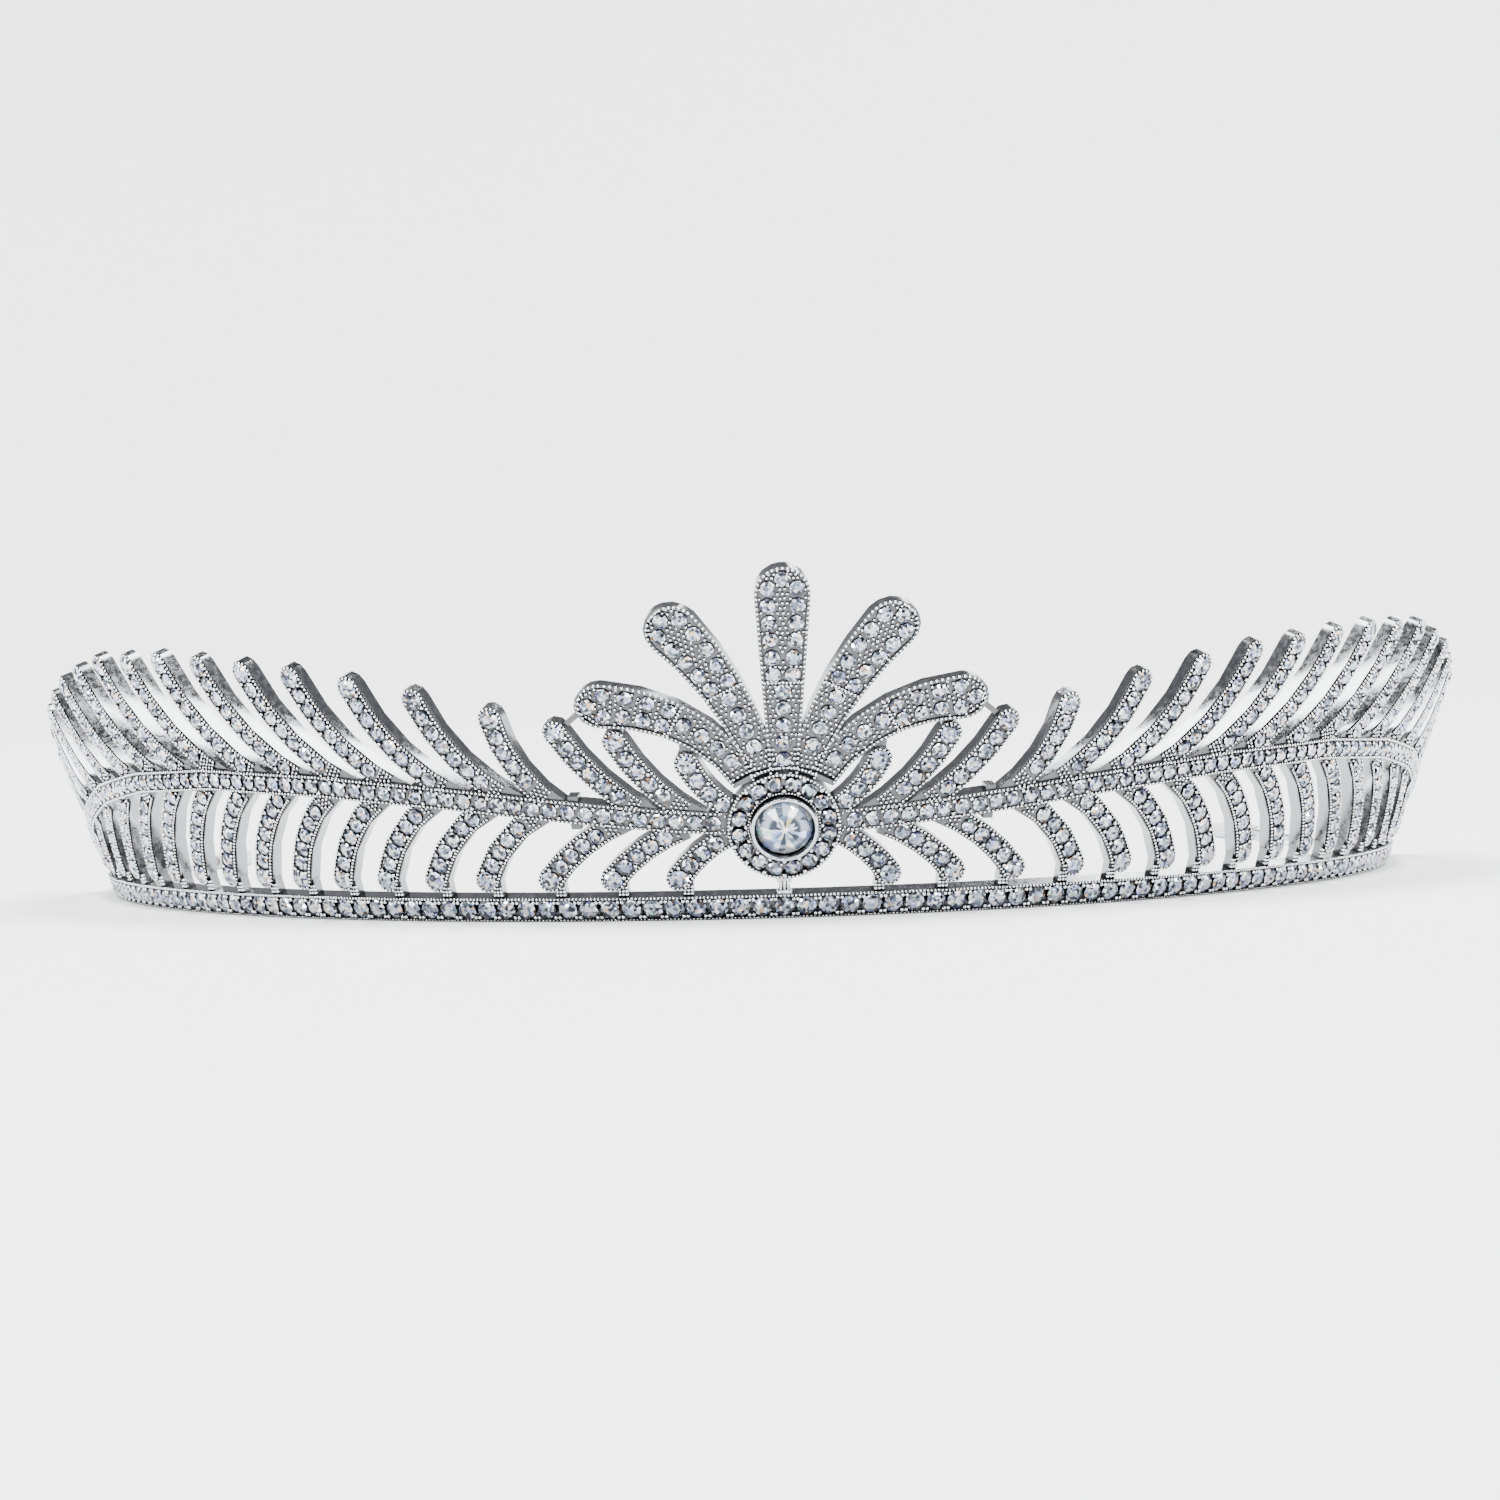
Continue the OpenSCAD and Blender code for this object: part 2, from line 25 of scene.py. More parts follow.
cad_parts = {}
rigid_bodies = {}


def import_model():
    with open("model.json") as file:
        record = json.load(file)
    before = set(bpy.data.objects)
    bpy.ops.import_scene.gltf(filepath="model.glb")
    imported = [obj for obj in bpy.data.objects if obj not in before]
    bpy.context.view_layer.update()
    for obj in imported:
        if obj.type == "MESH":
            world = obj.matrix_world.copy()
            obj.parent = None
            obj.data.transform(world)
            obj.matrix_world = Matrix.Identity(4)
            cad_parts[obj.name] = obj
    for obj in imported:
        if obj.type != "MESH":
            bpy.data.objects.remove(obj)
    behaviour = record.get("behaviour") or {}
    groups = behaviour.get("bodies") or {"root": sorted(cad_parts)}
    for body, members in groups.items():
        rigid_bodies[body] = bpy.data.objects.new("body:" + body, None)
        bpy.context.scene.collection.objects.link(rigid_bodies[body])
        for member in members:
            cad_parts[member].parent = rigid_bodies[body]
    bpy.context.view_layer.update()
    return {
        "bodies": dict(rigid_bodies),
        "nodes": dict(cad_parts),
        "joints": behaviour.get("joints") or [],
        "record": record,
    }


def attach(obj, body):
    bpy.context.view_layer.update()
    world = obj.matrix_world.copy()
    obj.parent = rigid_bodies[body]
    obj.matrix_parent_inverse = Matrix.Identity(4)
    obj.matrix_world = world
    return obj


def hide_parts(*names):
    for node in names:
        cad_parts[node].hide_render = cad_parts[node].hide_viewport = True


LOG = logging.getLogger("tiara")
SEED = 7

MM = 0.001
TO_METRES = Matrix.Scale(MM, 4)
UPRIGHT = Matrix.Rotation(math.pi / 2, 4, "X")

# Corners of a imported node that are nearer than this, in metres, are one corner.
SAME_PLACE = 1e-7

# A stone's attributes, which are its distance from its axis and its place on the stone,
# and the radius of its table when that of its girdle is 1.
EDGE = "edge"
PLAN = "plan"
TABLE = 0.56

Pair = tuple[float, float]
Triple = tuple[float, float, float]
Stops = tuple[tuple[float, Triple], ...]
Feed = NodeSocket | float | tuple[float, ...]


class Side(Enum):
    """Half of the tiara, with the sign of its places along the band."""

    LEFT = -1
    RIGHT = 1

    @property
    def word(self) -> str:
        """How the names of pieces give the side."""
        return self.name.lower()


class Cut(Enum):
    """How a stone is cut, with the corners of its girdle."""

    SMALL = 8
    BRILLIANT = 16


class Polish(Enum):
    """Roughness of plated metal, as the lowest and highest value."""

    CAST = (0.10, 0.26)
    BEAD = (0.08, 0.16)
    MIRROR = (0.03, 0.10)


@dataclass(frozen=True)
class Band:
    """The leaning surface that carries the castings.

    A place on it is s along the ring from the front, h up the lean and d outwards.
    """

    front_r: float = 64.0
    front_turn: float = math.radians(36.0)
    side_r: float = 76.0
    flare: float = math.radians(20.0)

    @property
    def front_len(self) -> float:
        """Length of the front arc on one side."""
        return self.front_r * self.front_turn

    def turn(self, s: float) -> float:
        """Gives the ring's direction.

        Args:
            s: Place along the ring.

        Returns:
            The direction there.
        """
        a = abs(s)
        t = a / self.front_r
        if a >= self.front_len:
            t = self.front_turn + (a - self.front_len) / self.side_r
        return math.copysign(t, s)

    def ring(self, s: float) -> Vector:
        """Finds a point of the ring.

        Args:
            s: Place along the ring.

        Returns:
            The point.
        """
        t = abs(self.turn(s))
        r = self.front_r
        if abs(s) < self.front_len:
            x, y = r * math.sin(t), r * (1 - math.cos(t))
        else:
            more = self.side_r - r
            x = self.side_r * math.sin(t) - more * math.sin(self.front_turn)
            y = r + more * math.cos(self.front_turn) - self.side_r * math.cos(t)
        return Vector((math.copysign(x, s), y, 0.0))

    def outward(self, place: Vector) -> Vector:
        """Finds the direction out of the band's surface.

        Args:
            place: A point near the surface.

        Returns:
            The direction there.
        """
        a = math.atan2(abs(place.x), self.front_r - place.y)
        if a > self.front_turn:
            more = self.side_r - self.front_r
            a = math.atan2(abs(place.x) + more * math.sin(self.front_turn),
                           self.front_r + more * math.cos(self.front_turn) - place.y)
        across = math.copysign(math.sin(a), place.x)
        level = Vector((across, -math.cos(a), 0)) * math.cos(self.flare)
        return level - Vector((0, 0, math.sin(self.flare)))

    def stretch(self, s: float, h: float) -> float:
        """How much longer the band is at height h than at its foot."""
        r = self.front_r if abs(s) < self.front_len else self.side_r
        return 1 + h * math.sin(self.flare) / r

    def stand(self, s: float) -> Matrix:
        """An upright frame on the ring, with Y inwards."""
        return Matrix.Translation(self.ring(s)) @ Matrix.Rotation(self.turn(s), 4, "Z")

    def seat(self, s: float, h: float, d: float, lean: float = 0.0) -> Matrix:
        """Finds a frame on the band, with Z outwards and X along a direction.

        Args:
            s: Place along the ring.
            h: Height up the lean.
            d: Distance in front of the surface.
            lean: Direction of X in the surface, from the ring.

        Returns:
            The frame.
        """
        tip = Matrix.Rotation(math.pi / 2 + self.flare, 4, "X")
        at = Matrix.Translation((0.0, h, d)) @ Matrix.Rotation(lean, 4, "Z")
        return self.stand(s) @ tip @ at


@dataclass(frozen=True)
class Profile:
    """Heights of the spine and of the upper leaf tips along the band.

    A row gives a place, the height of the spine's middle, that of an upper tip, and how
    far an upper tip stands from the lower tip of its pair.
    """

    rows: tuple[tuple[float, ...], ...] = (
        (0, 9.9, 15.0, 0), (10, 10.6, 17.2, -1.6), (20, 11.8, 20.0, -3.1),
        (29, 13.0, 22.4, -3.1), (34.5, 13.6, 24.1, -1.5), (45, 14.6, 26.0, -0.3),
        (60, 15.2, 27.6, 0), (73, 14.6, 27.3, 0), (84, 13.0, 24.8, 0),
        (95, 10.2, 21.4, 0), (105, 6.6, 17.0, 0), (112, 3.7, 12.0, 0),
        (121, 2.4, 6.0, 0))

    def value(self, s: float, column: int) -> float:
        """Reads a column, between the rows in proportion.

        Args:
            s: Place along the ring.
            column: The column.

        Returns:
            Its value there.
        """
        for a, b in zip(self.rows, self.rows[1:]):
            if s <= b[0]:
                return a[column] + (b[column] - a[column]) * (s - a[0]) / (b[0] - a[0])
        return self.rows[-1][column]

    def spine(self, s: float) -> float:
        """Height of the spine's middle."""
        return self.value(abs(s), 1)

    def tip(self, s: float) -> float:
        """Height of an upper leaf's tip."""
        return self.value(s, 2)

    def shift(self, s: float) -> float:
        """How far an upper tip stands from the lower tip of its pair."""
        return self.value(s, 3)


BAND = Band()
PROFILE = Profile()


@dataclass(frozen=True)
class Blade:
    """A curved blade of the castings: a leaf or a plume.

    root and tip are places as (s, h), turn is in degrees, and the widths are half
    widths at the two ends. front is how far the metal stands out.
    """

    root: Pair
    tip: Pair
    turn: float
    root_w: float
    tip_w: float
    front: float
    side: Side = Side.RIGHT

    @property
    def run(self) -> float:
        """Straight length in band units."""
        return math.dist(self.root, self.tip)

    def width(self, t: float) -> float:
        """Half width at a part t of the way to the tip."""
        return self.root_w + (self.tip_w - self.root_w) * min(1.0, max(0.0, t))

    def middle(self, t: float) -> Triple:
        """Finds a place on the middle line.

        Args:
            t: Part of the way from the root to the centre of the round end.

        Returns:
            The place as s and h, and the line's direction.
        """
        turn = math.radians(self.turn)
        ds, dh = self.tip[0] - self.root[0], self.tip[1] - self.root[1]
        r = self.run / 2 / math.sin(turn / 2)
        start = math.atan2(dh, ds) - turn / 2
        way = start + turn * t
        s = self.root[0] + r * (math.sin(way) - math.sin(start))
        h = self.root[1] - r * (math.cos(way) - math.cos(start))
        return s, h, way

    def clears_spine(self, t: float, room: float) -> bool:
        """Whether the middle line has left the spine by some room at t."""
        s, h, _ = self.middle(t)
        return abs(h - PROFILE.spine(s)) > room

    def seat(self, t: float, off: float, d: float) -> Matrix:
        """Finds a frame beside the middle line, with X along the blade.

        Args:
            t: Part of the way to the round end.
            off: Distance to the left of the middle line.
            d: Distance in front of the band surface.

        Returns:
            The frame.
        """
        s, h, way = self.middle(t)
        s -= math.sin(way) * off / BAND.stretch(s, h)
        h += math.cos(way) * off
        lean = way if self.side is Side.RIGHT else math.pi - way
        return BAND.seat(self.side.value * s, h, d, lean)

    def steps(self, pitch: float, start: float = 1.0, pieces: int = 48) -> list[float]:
        """Finds parts of the way to the root that lie a true distance apart.

        Args:
            pitch: Distance between two of them.
            start: The first one.
            pieces: Straight pieces that the middle line is measured in.

        Returns:
            The parts, from start down towards the root.
        """
        found, gone = [start], 0.0
        last = self.seat(start, 0, 0).translation
        for i in range(pieces):
            here = self.seat(start - start * (i + 1) / pieces, 0, 0).translation
            step = (here - last).length
            while pitch * len(found) <= gone + step:
                part = (pitch * len(found) - gone) / step
                found.append(start - start * (i + part) / pieces)
            gone += step
            last = here
        return found

    def round_end(self, radius: float, d: float, pitch: float) -> Iterator[Matrix]:
        """Goes round the blade's end, between its two edges.

        Args:
            radius: Distance from the centre of the round end.
            d: Distance in front of the band surface.
            pitch: Distance between two places.

        Yields:
            A frame at each place.
        """
        count = round(math.pi * radius / pitch)
        for i in range(1, count):
            a = math.pi * i / count - math.pi / 2
            at = Matrix.Translation((radius * math.cos(a), radius * math.sin(a), 0))
            yield self.seat(1.0, 0, d) @ at


class NodeBench:
    """The nodes of a material or of the room, while they are put together."""

    def __init__(self, owner: Material | World, last: str = "Principled BSDF") -> None:
        """Opens the owner's nodes.

        Args:
            owner: What they belong to.
            last: The node that the others feed.
        """
        owner.use_nodes = True
        self.owner = owner
        self.tree = owner.node_tree
        self.last = self.tree.nodes[last]

    def feed(self, node: Node, feeds: dict[str | int, Feed]) -> None:
        """Fills a node's inputs.

        Args:
            node: The node.
            feeds: For each input a socket to link, or a fixed value.
        """
        for key, value in feeds.items():
            if isinstance(value, NodeSocket):
                self.tree.links.new(value, node.inputs[key])
            else:
                node.inputs[key].default_value = value

    def add(self, kind: str, feeds: dict[str | int, Feed] | None = None,
            operation: str = "") -> Node:
        """Adds a node.

        Args:
            kind: Its type, without the prefix.
            feeds: What its inputs get.
            operation: What a node of maths does.

        Returns:
            The node.
        """
        node = self.tree.nodes.new(f"ShaderNode{kind}")
        if operation:
            node.operation = operation
        self.feed(node, feeds or {})
        return node

    def finish(self, feeds: dict[str | int, Feed]) -> Material | World:
        """Fills the last node's inputs and gives the owner."""
        self.feed(self.last, feeds)
        return self.owner

    def vector(self, operation: str, *feeds: Feed) -> NodeSocket:
        """Adds a step of vector maths and gives its result."""
        return self.add("VectorMath", dict(enumerate(feeds)), operation).outputs[0]

    def scale(self, source: NodeSocket, factor: Feed) -> NodeSocket:
        """Multiplies a vector or a colour by one factor."""
        return self.add("VectorMath", {0: source, "Scale": factor}, "SCALE").outputs[0]

    def spread(self, value: NodeSocket, source: Pair, result: Pair) -> NodeSocket:
        """Stretches one range of values to another."""
        ends = dict(zip(("From Min", "From Max", "To Min", "To Max"), (*source, *result)))
        return self.add("MapRange", {"Value": value, **ends}).outputs["Result"]

    def ramp(self, value: NodeSocket, stops: Stops, stepped: bool = False) -> NodeSocket:
        """Turns a value into a colour.

        Args:
            value: The value.
            stops: Values and the colours that start at them.
            stepped: Whether a colour holds until the next one.

        Returns:
            The colour.
        """
        node = self.add("ValToRGB", {"Fac": value})
        if stepped:
            node.color_ramp.interpolation = "CONSTANT"
        elements = node.color_ramp.elements
        while len(elements) < len(stops):
            elements.new(0.5)
        for element, (at, tint) in zip(elements, stops):
            element.position = at
            element.color = (*tint, 1)
        return node.outputs["Color"]

    def attribute(self, name: str) -> Node:
        """Adds a reading of a mesh attribute.

        Args:
            name: The attribute's name.

        Returns:
            The node that reads it.
        """
        node = self.add("Attribute")
        node.attribute_name = name
        return node

    def mottle(self, scale: float, detail: float, ends: tuple[Triple, Triple],
               height: float) -> tuple[NodeSocket, NodeSocket]:
        """Gives the surface a fine unevenness.

        Args:
            scale: How fine it is.
            detail: How many finer layers it has.
            ends: The two colours that it wanders between.
            height: How high it stands.

        Returns:
            The unevenness from 0 to 1, and the colour.
        """
        coords = self.add("TexCoord").outputs["Object"]
        noise = self.add("TexNoise", {"Vector": coords, "Scale": scale,
                                      "Detail": detail}).outputs["Fac"]
        tint = self.add("Mix")
        tint.data_type = "RGBA"
        self.feed(tint, {0: noise, 6: (*ends[0], 1), 7: (*ends[1], 1)})
        bump = self.add("Bump", {"Height": noise, "Distance": height})
        self.feed(self.last, {"Normal": bump.outputs["Normal"]})
        return noise, tint.outputs[2]

    def facets(self, cells: Node, sway: float, painted_reflections: Stops) -> NodeSocket:
        """Tilts the surface cell by cell, as cut facets do, and gives each cell a tint that is
        a painted reflection.

        Args:
            cells: The pattern of cells.
            sway: How far a cell tilts.
            painted_reflections: The painted reflection colours that the cells share out.

        Returns:
            The painted reflection tint.
        """
        luck = cells.outputs["Color"]
        tilt = self.scale(self.vector("SUBTRACT", luck, (0.5, 0.5, 0.5)), sway)
        normal = self.add("NewGeometry").outputs["Normal"]
        facet = self.vector("NORMALIZE", self.vector("ADD", tilt, normal))
        self.feed(self.last, {"Normal": facet})
        parts = self.add("SeparateColor", {"Color": luck})
        return self.ramp(parts.outputs["Green"], painted_reflections, stepped=True)


@dataclass(frozen=True)
class CastMetal:
    """Bright plated metal, a little uneven, with painted shade in the hollows between beads.

    painted_shade_reach is how wide a gap may be, openness the free parts of its view between
    which the painted shade darkens the base colour, and depth what is left of its tone where
    the painted shade is deepest.
    """

    name: str
    polish: Polish
    tone: Triple
    shade: Triple
    grain: float = 900.0
    bump: float = 0.00001
    painted_shade_reach: float = 0.0005
    detail: float = 3.0
    uneven: Pair = (0.3, 0.7)
    openness: Pair = (0.38, 0.9)
    depth: float = 0.06
    samples: int = 6

    def make(self) -> Material:
        """Builds the material.

        Returns:
            The material.
        """
        bench = NodeBench(bpy.data.materials.new(self.name))
        noise, tint = bench.mottle(self.grain, self.detail, (self.shade, self.tone), self.bump)
        # Painted shade: ambient occlusion darkens the base colour in gaps and between parts.
        painted_shade_ao = bench.add("AmbientOcclusion", {"Distance": self.painted_shade_reach})
        painted_shade_ao.samples = self.samples
        painted_shade = bench.spread(painted_shade_ao.outputs["AO"], self.openness, (self.depth, 1.0))
        return bench.finish({
            "Base Color": bench.scale(tint, painted_shade), "Metallic": 1.0,
            "Roughness": bench.spread(noise, self.uneven, self.polish.value)})


@dataclass(frozen=True)
class PaintedSparkleStones:
    """Cut stones: a mosaic of facets painted white, near black or coloured, as painted
    reflections, painted shade and painted glints.

    cell is a facet's size, sway how far one tilts, and painted_table_shade how light the table
    is beside the girdle, as painted shade that fades out towards the girdle.
    """

    name: str
    cell: float = 0.32
    sway: float = 0.9
    painted_table_shade: float = 0.56
    metallic: float = 0.85
    roughness: float = 0.05
    ior: float = 2.1
    painted_reflections: Stops = (
        (0.0, (0.03, 0.035, 0.05)),
        (0.15, (0.17, 0.21, 0.29)),
        (0.31, (0.42, 0.49, 0.62)),
        (0.48, (0.80, 0.86, 0.97)),
        (0.62, (1.0, 1.0, 1.0)),
        (0.89, (0.48, 0.54, 1.0)),
        (0.94, (0.60, 0.95, 0.85)),
        (0.96, (1.0, 0.66, 0.44)))

    def make(self) -> Material:
        """Builds the material.

        Returns:
            The material.
        """
        bench = NodeBench(bpy.data.materials.new(self.name))
        coords = bench.add("TexCoord").outputs["Object"]
        cells = bench.add("TexVoronoi", {"Vector": coords, "Scale": 1 / (self.cell * MM)})
        # Painted reflections: each cell's base colour stands for a reflected glint or a shaded
        # facet.
        tint = bench.facets(cells, self.sway, self.painted_reflections)
        edge = bench.attribute(EDGE).outputs["Fac"]
        # Painted shade: the table is darker than the girdle.
        painted_table_shading = bench.spread(edge, (TABLE, 1.0), (self.painted_table_shade, 1.0))
        return bench.finish({"Base Color": bench.scale(tint, painted_table_shading), "IOR": self.ior,
                             "Metallic": self.metallic, "Roughness": self.roughness})


@dataclass(frozen=True)
class PaintedSparkleBrilliant:
    """The main stone: wedges of facets that run round its centre, painted as reflections, with
    a painted highlight at the centre and painted glints.

    light is what a painted reflection tint is multiplied by, and painted_highlight what it is
    raised by, from the centre out to the girdle: painted shade on the petals round the centre,
    painted light at the centre and the outer ring.
    """

    name: str
    wedges: float = 18.0
    rings: float = 1.9
    scatter: float = 0.5
    sway: float = 0.55
    metallic: float = 0.75
    roughness: float = 0.03
    ior: float = 2.1
    light: Stops = (
        (0.0, (1.0, 1.0, 1.0)),
        (0.10, (0.85, 0.85, 0.85)),
        (0.17, (0.42, 0.44, 0.47)),
        (0.46, (0.54, 0.565, 0.60)),
        (0.60, (1.0, 1.0, 1.0)))
    painted_highlight: Stops = (
        (0.0, (0.5, 0.5, 0.5)),
        (0.12, (0.0, 0.0, 0.0)),
        (0.52, (0.0, 0.0, 0.0)),
        (0.62, (0.26, 0.28, 0.32)),
        (1.0, (0.10, 0.12, 0.15)))
    painted_reflections: Stops = (
        (0.0, (0.02, 0.035, 0.06)),
        (0.18, (0.14, 0.20, 0.30)),
        (0.34, (0.52, 0.63, 0.80)),
        (0.50, (1.0, 1.0, 1.0)),
        (0.80, (0.44, 0.48, 1.0)),
        (0.87, (0.50, 1.0, 0.76)),
        (0.93, (1.0, 0.86, 0.38)))

    def make(self) -> Material:
        """Builds the material.

        Returns:
            The material.
        """
        bench = NodeBench(bpy.data.materials.new(self.name))
        plan = bench.attribute(PLAN).outputs["Vector"]
        axes = bench.add("SeparateXYZ", {"Vector": plan}).outputs
        angle = bench.add("Math", {0: axes["Y"], 1: axes["X"]}, "ARCTAN2").outputs["Value"]
        flat = bench.vector("MULTIPLY", plan, (1.0, 1.0, 0.0))
        away = bench.add("VectorMath", {0: flat}, "LENGTH").outputs["Value"]
        polar = bench.add("CombineXYZ", {"X": angle, "Y": away}).outputs["Vector"]
        spread = bench.vector("MULTIPLY", polar, (self.wedges / math.tau, self.rings, 0.0))
        cells = bench.add("TexVoronoi")
        cells.voronoi_dimensions = "2D"
        bench.feed(cells, {"Vector": spread, "Scale": 1.0, "Randomness": self.scatter})
        # Painted light and shade: reflection colours times light plus painted_highlight, by
        # distance from the centre, stand for the stone's reflections.
        tone = bench.vector("MULTIPLY_ADD", bench.facets(cells, self.sway, self.painted_reflections),
                            bench.ramp(away, self.light), bench.ramp(away, self.painted_highlight))
        return bench.finish({"Base Color": tone, "IOR": self.ior,
                             "Metallic": self.metallic, "Roughness": self.roughness})


@dataclass(frozen=True)
class LoopCoating:
    """Soft translucent white plastic, dipped over the wire loops."""

    name: str
    thin: Triple = (0.66, 0.70, 0.71)
    tone: Triple = (0.80, 0.825, 0.83)
    grain: float = 420.0
    detail: float = 4.0
    bump: float = 0.00005
    roughness: float = 0.24
    clear: float = 0.25
    milky: float = 0.6
    milk_depth: float = 0.0008

    def make(self) -> Material:
        """Builds the material.

        Returns:
            The material.
        """
        bench = NodeBench(bpy.data.materials.new(self.name))
        _, tint = bench.mottle(self.grain, self.detail, (self.thin, self.tone), self.bump)
        return bench.finish({
            "Base Color": tint, "Roughness": self.roughness,
            "Transmission Weight": self.clear, "Subsurface Weight": self.milky,
            "Subsurface Scale": self.milk_depth})


@dataclass(frozen=True)
class PaleStudio:
    """Matt pale surface of the studio floor."""

    name: str
    tone: Triple = (0.93, 0.93, 0.93)
    roughness: float = 0.9

    def make(self) -> Material:
        """Builds the material.

        Returns:
            The material.
        """
        bench = NodeBench(bpy.data.materials.new(self.name))
        return bench.finish({"Base Color": (*self.tone, 1), "Roughness": self.roughness})


@dataclass(frozen=True)
class Finishes:
    """The materials that the pieces share."""

    cast: Material = field(default_factory=CastMetal(
        "cast_plating", Polish.CAST, (0.33, 0.335, 0.345), (0.27, 0.275, 0.285),
        grain=2200.0, bump=0.000002).make)
    # Painted shade: a darker copy of the cast plating, standing for the shade in the gaps
    # between stones and beads.
    shaded_bed: Material = field(default_factory=CastMetal(
        "painted_shade_bed_plating", Polish.CAST, (0.13, 0.135, 0.14), (0.08, 0.08, 0.085),
        grain=2200.0, bump=0.000004).make)
    bead: Material = field(default_factory=CastMetal(
        "bead_plating", Polish.BEAD, (0.92, 0.935, 0.96), (0.80, 0.815, 0.84)).make)
    mirror: Material = field(default_factory=CastMetal(
        "mirror_plating", Polish.MIRROR, (0.52, 0.525, 0.535), (0.46, 0.465, 0.475),
        grain=260.0, bump=0.000004).make)
    # Painted shade: a near-black copy of the mirror plating, with a wide reach for its painted
    # shade, for the shaded inner edge of the bezel round the main stone.
    lip: Material = field(default_factory=CastMetal(
        "painted_shade_bezel_plating", Polish.MIRROR, (0.15, 0.155, 0.165), (0.12, 0.125, 0.13),
        grain=260.0, bump=0.000002, painted_shade_reach=0.0014).make)
    roll: Material = field(default_factory=CastMetal(
        "roll_plating", Polish.MIRROR, (0.56, 0.57, 0.585), (0.50, 0.51, 0.52),
        grain=260.0, bump=0.000002).make)
    stones: Material = field(default_factory=PaintedSparkleStones("stones_painted_sparkle").make)
    brilliant: Material = field(default_factory=PaintedSparkleBrilliant("brilliant_painted_sparkle").make)
    coating: Material = field(default_factory=LoopCoating("loop_coating").make)


def only(kind: type, geom: list) -> list:
    """The elements of one kind in what an operator made."""
    return [element for element in geom if isinstance(element, kind)]


def edges_at(verts: Iterable[BMVert]) -> list[BMEdge]:
    """The edges that meet at some vertices, each once."""
    return list(dict.fromkeys(edge for vert in verts for edge in vert.link_edges))


def smooth_faces(bm: BMesh) -> None:
    """Shades every face of a shape smooth."""
    for face in bm.faces:
        face.smooth = True


def add_block(bm: BMesh, place: Matrix, size: Triple, bevel: float, steps: int) -> None:
    """Adds a block with bevelled edges.

    Args:
        bm: The shape that it becomes a part of.
        place: The frame in its middle.
        size: Its size.
        bevel: Width of the bevels.
        steps: Steps across a bevel.
    """
    made = bmesh.ops.create_cube(
        bm, size=1.0, matrix=TO_METRES @ place @ Matrix.Diagonal((*size, 1.0)))
    bmesh.ops.bevel(bm, geom=edges_at(made["verts"]), offset=bevel * MM, affect="EDGES",
                    segments=steps, profile=0.5, material=-1)


def close_shape(bm: BMesh, name: str) -> Mesh:
    """Turns a finished shape into a mesh.

    Args:
        bm: The shape, which is freed.
        name: The mesh's name.

    Returns:
        The mesh.
    """
    mesh = bpy.data.meshes.new(name)
    bm.to_mesh(mesh)
    bm.free()
    return mesh


def add_piece(name: str, bm: BMesh, material: Material, slot: str, node: str = "") -> Object:
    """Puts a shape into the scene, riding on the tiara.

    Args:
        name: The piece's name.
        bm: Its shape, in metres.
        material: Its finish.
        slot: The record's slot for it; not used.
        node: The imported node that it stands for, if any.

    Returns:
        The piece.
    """
    mesh = close_shape(bm, name)
    mesh.materials.clear()
    mesh.materials.append(material)
    piece = bpy.data.objects.new(name, mesh)
    bpy.context.scene.collection.objects.link(piece)
    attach(piece, "root")
    if node:
        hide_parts(node)
    LOG.info("%s: %d faces", name, len(mesh.polygons))
    return piece


def copy_node(frame: dict, node: str) -> BMesh:
    """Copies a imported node's mesh, merged and shaded smooth.

    Args:
        frame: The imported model.
        node: The node's name.

    Returns:
        The copy.
    """
    bm = bmesh.new()
    bm.from_mesh(frame["nodes"][node].data)
    bmesh.ops.remove_doubles(bm, verts=bm.verts[:], dist=SAME_PLACE)
    smooth_faces(bm)
    return bm


def cut_stone(cut: Cut) -> Mesh:
    """Makes a round stone of radius 1 with its girdle at Z 0.

    Args:
        cut: How it is cut.

    Returns:
        The stone, with a table, a crown and a pavilion.
    """
    bm = bmesh.new()
    girdle, crown, culet = 0.02, 0.30, -0.84
    # A ring is its count of corners, its radius, its height and its turn in corners.
    rings = [(cut.value, 1.0, girdle, 0.0), (cut.value, 1.0, -girdle, 0.0),
             (8, TABLE, crown, 0.0)]
    if cut is Cut.BRILLIANT:
        crown_break, pavilion_break = (8, 0.80, 0.19, 0.5), (8, 0.24, -0.66, 0.5)
        rings += [crown_break, pavilion_break]
    for count, radius, height, turn in rings:
        place = Matrix.Translation((0, 0, height)) @ Matrix.Rotation(
            math.tau / count * turn, 4, "Z")
        bmesh.ops.create_circle(bm, segments=count, radius=radius, matrix=place)
    bmesh.ops.create_vert(bm, co=(0, 0, culet))
    bmesh.ops.convex_hull(bm, input=bm.verts[:])
    bmesh.ops.dissolve_limit(bm, angle_limit=math.radians(1), verts=bm.verts[:],
                             edges=bm.edges[:])
    bmesh.ops.recalc_face_normals(bm, faces=bm.faces[:])
    edge = bm.verts.layers.float.new(EDGE)
    plan = bm.verts.layers.float_vector.new(PLAN)
    for vert in bm.verts:
        vert[edge] = vert.co.xy.length
        vert[plan] = vert.co
    return close_shape(bm, f"stone_{cut.name.lower()}")


def round_bead() -> Mesh:
    """Makes a bead.

    Returns:
        The bead, of radius 1.
    """
    bm = bmesh.new()
    bmesh.ops.create_icosphere(bm, subdivisions=1, radius=1.0)
    smooth_faces(bm)
    return close_shape(bm, "bead")


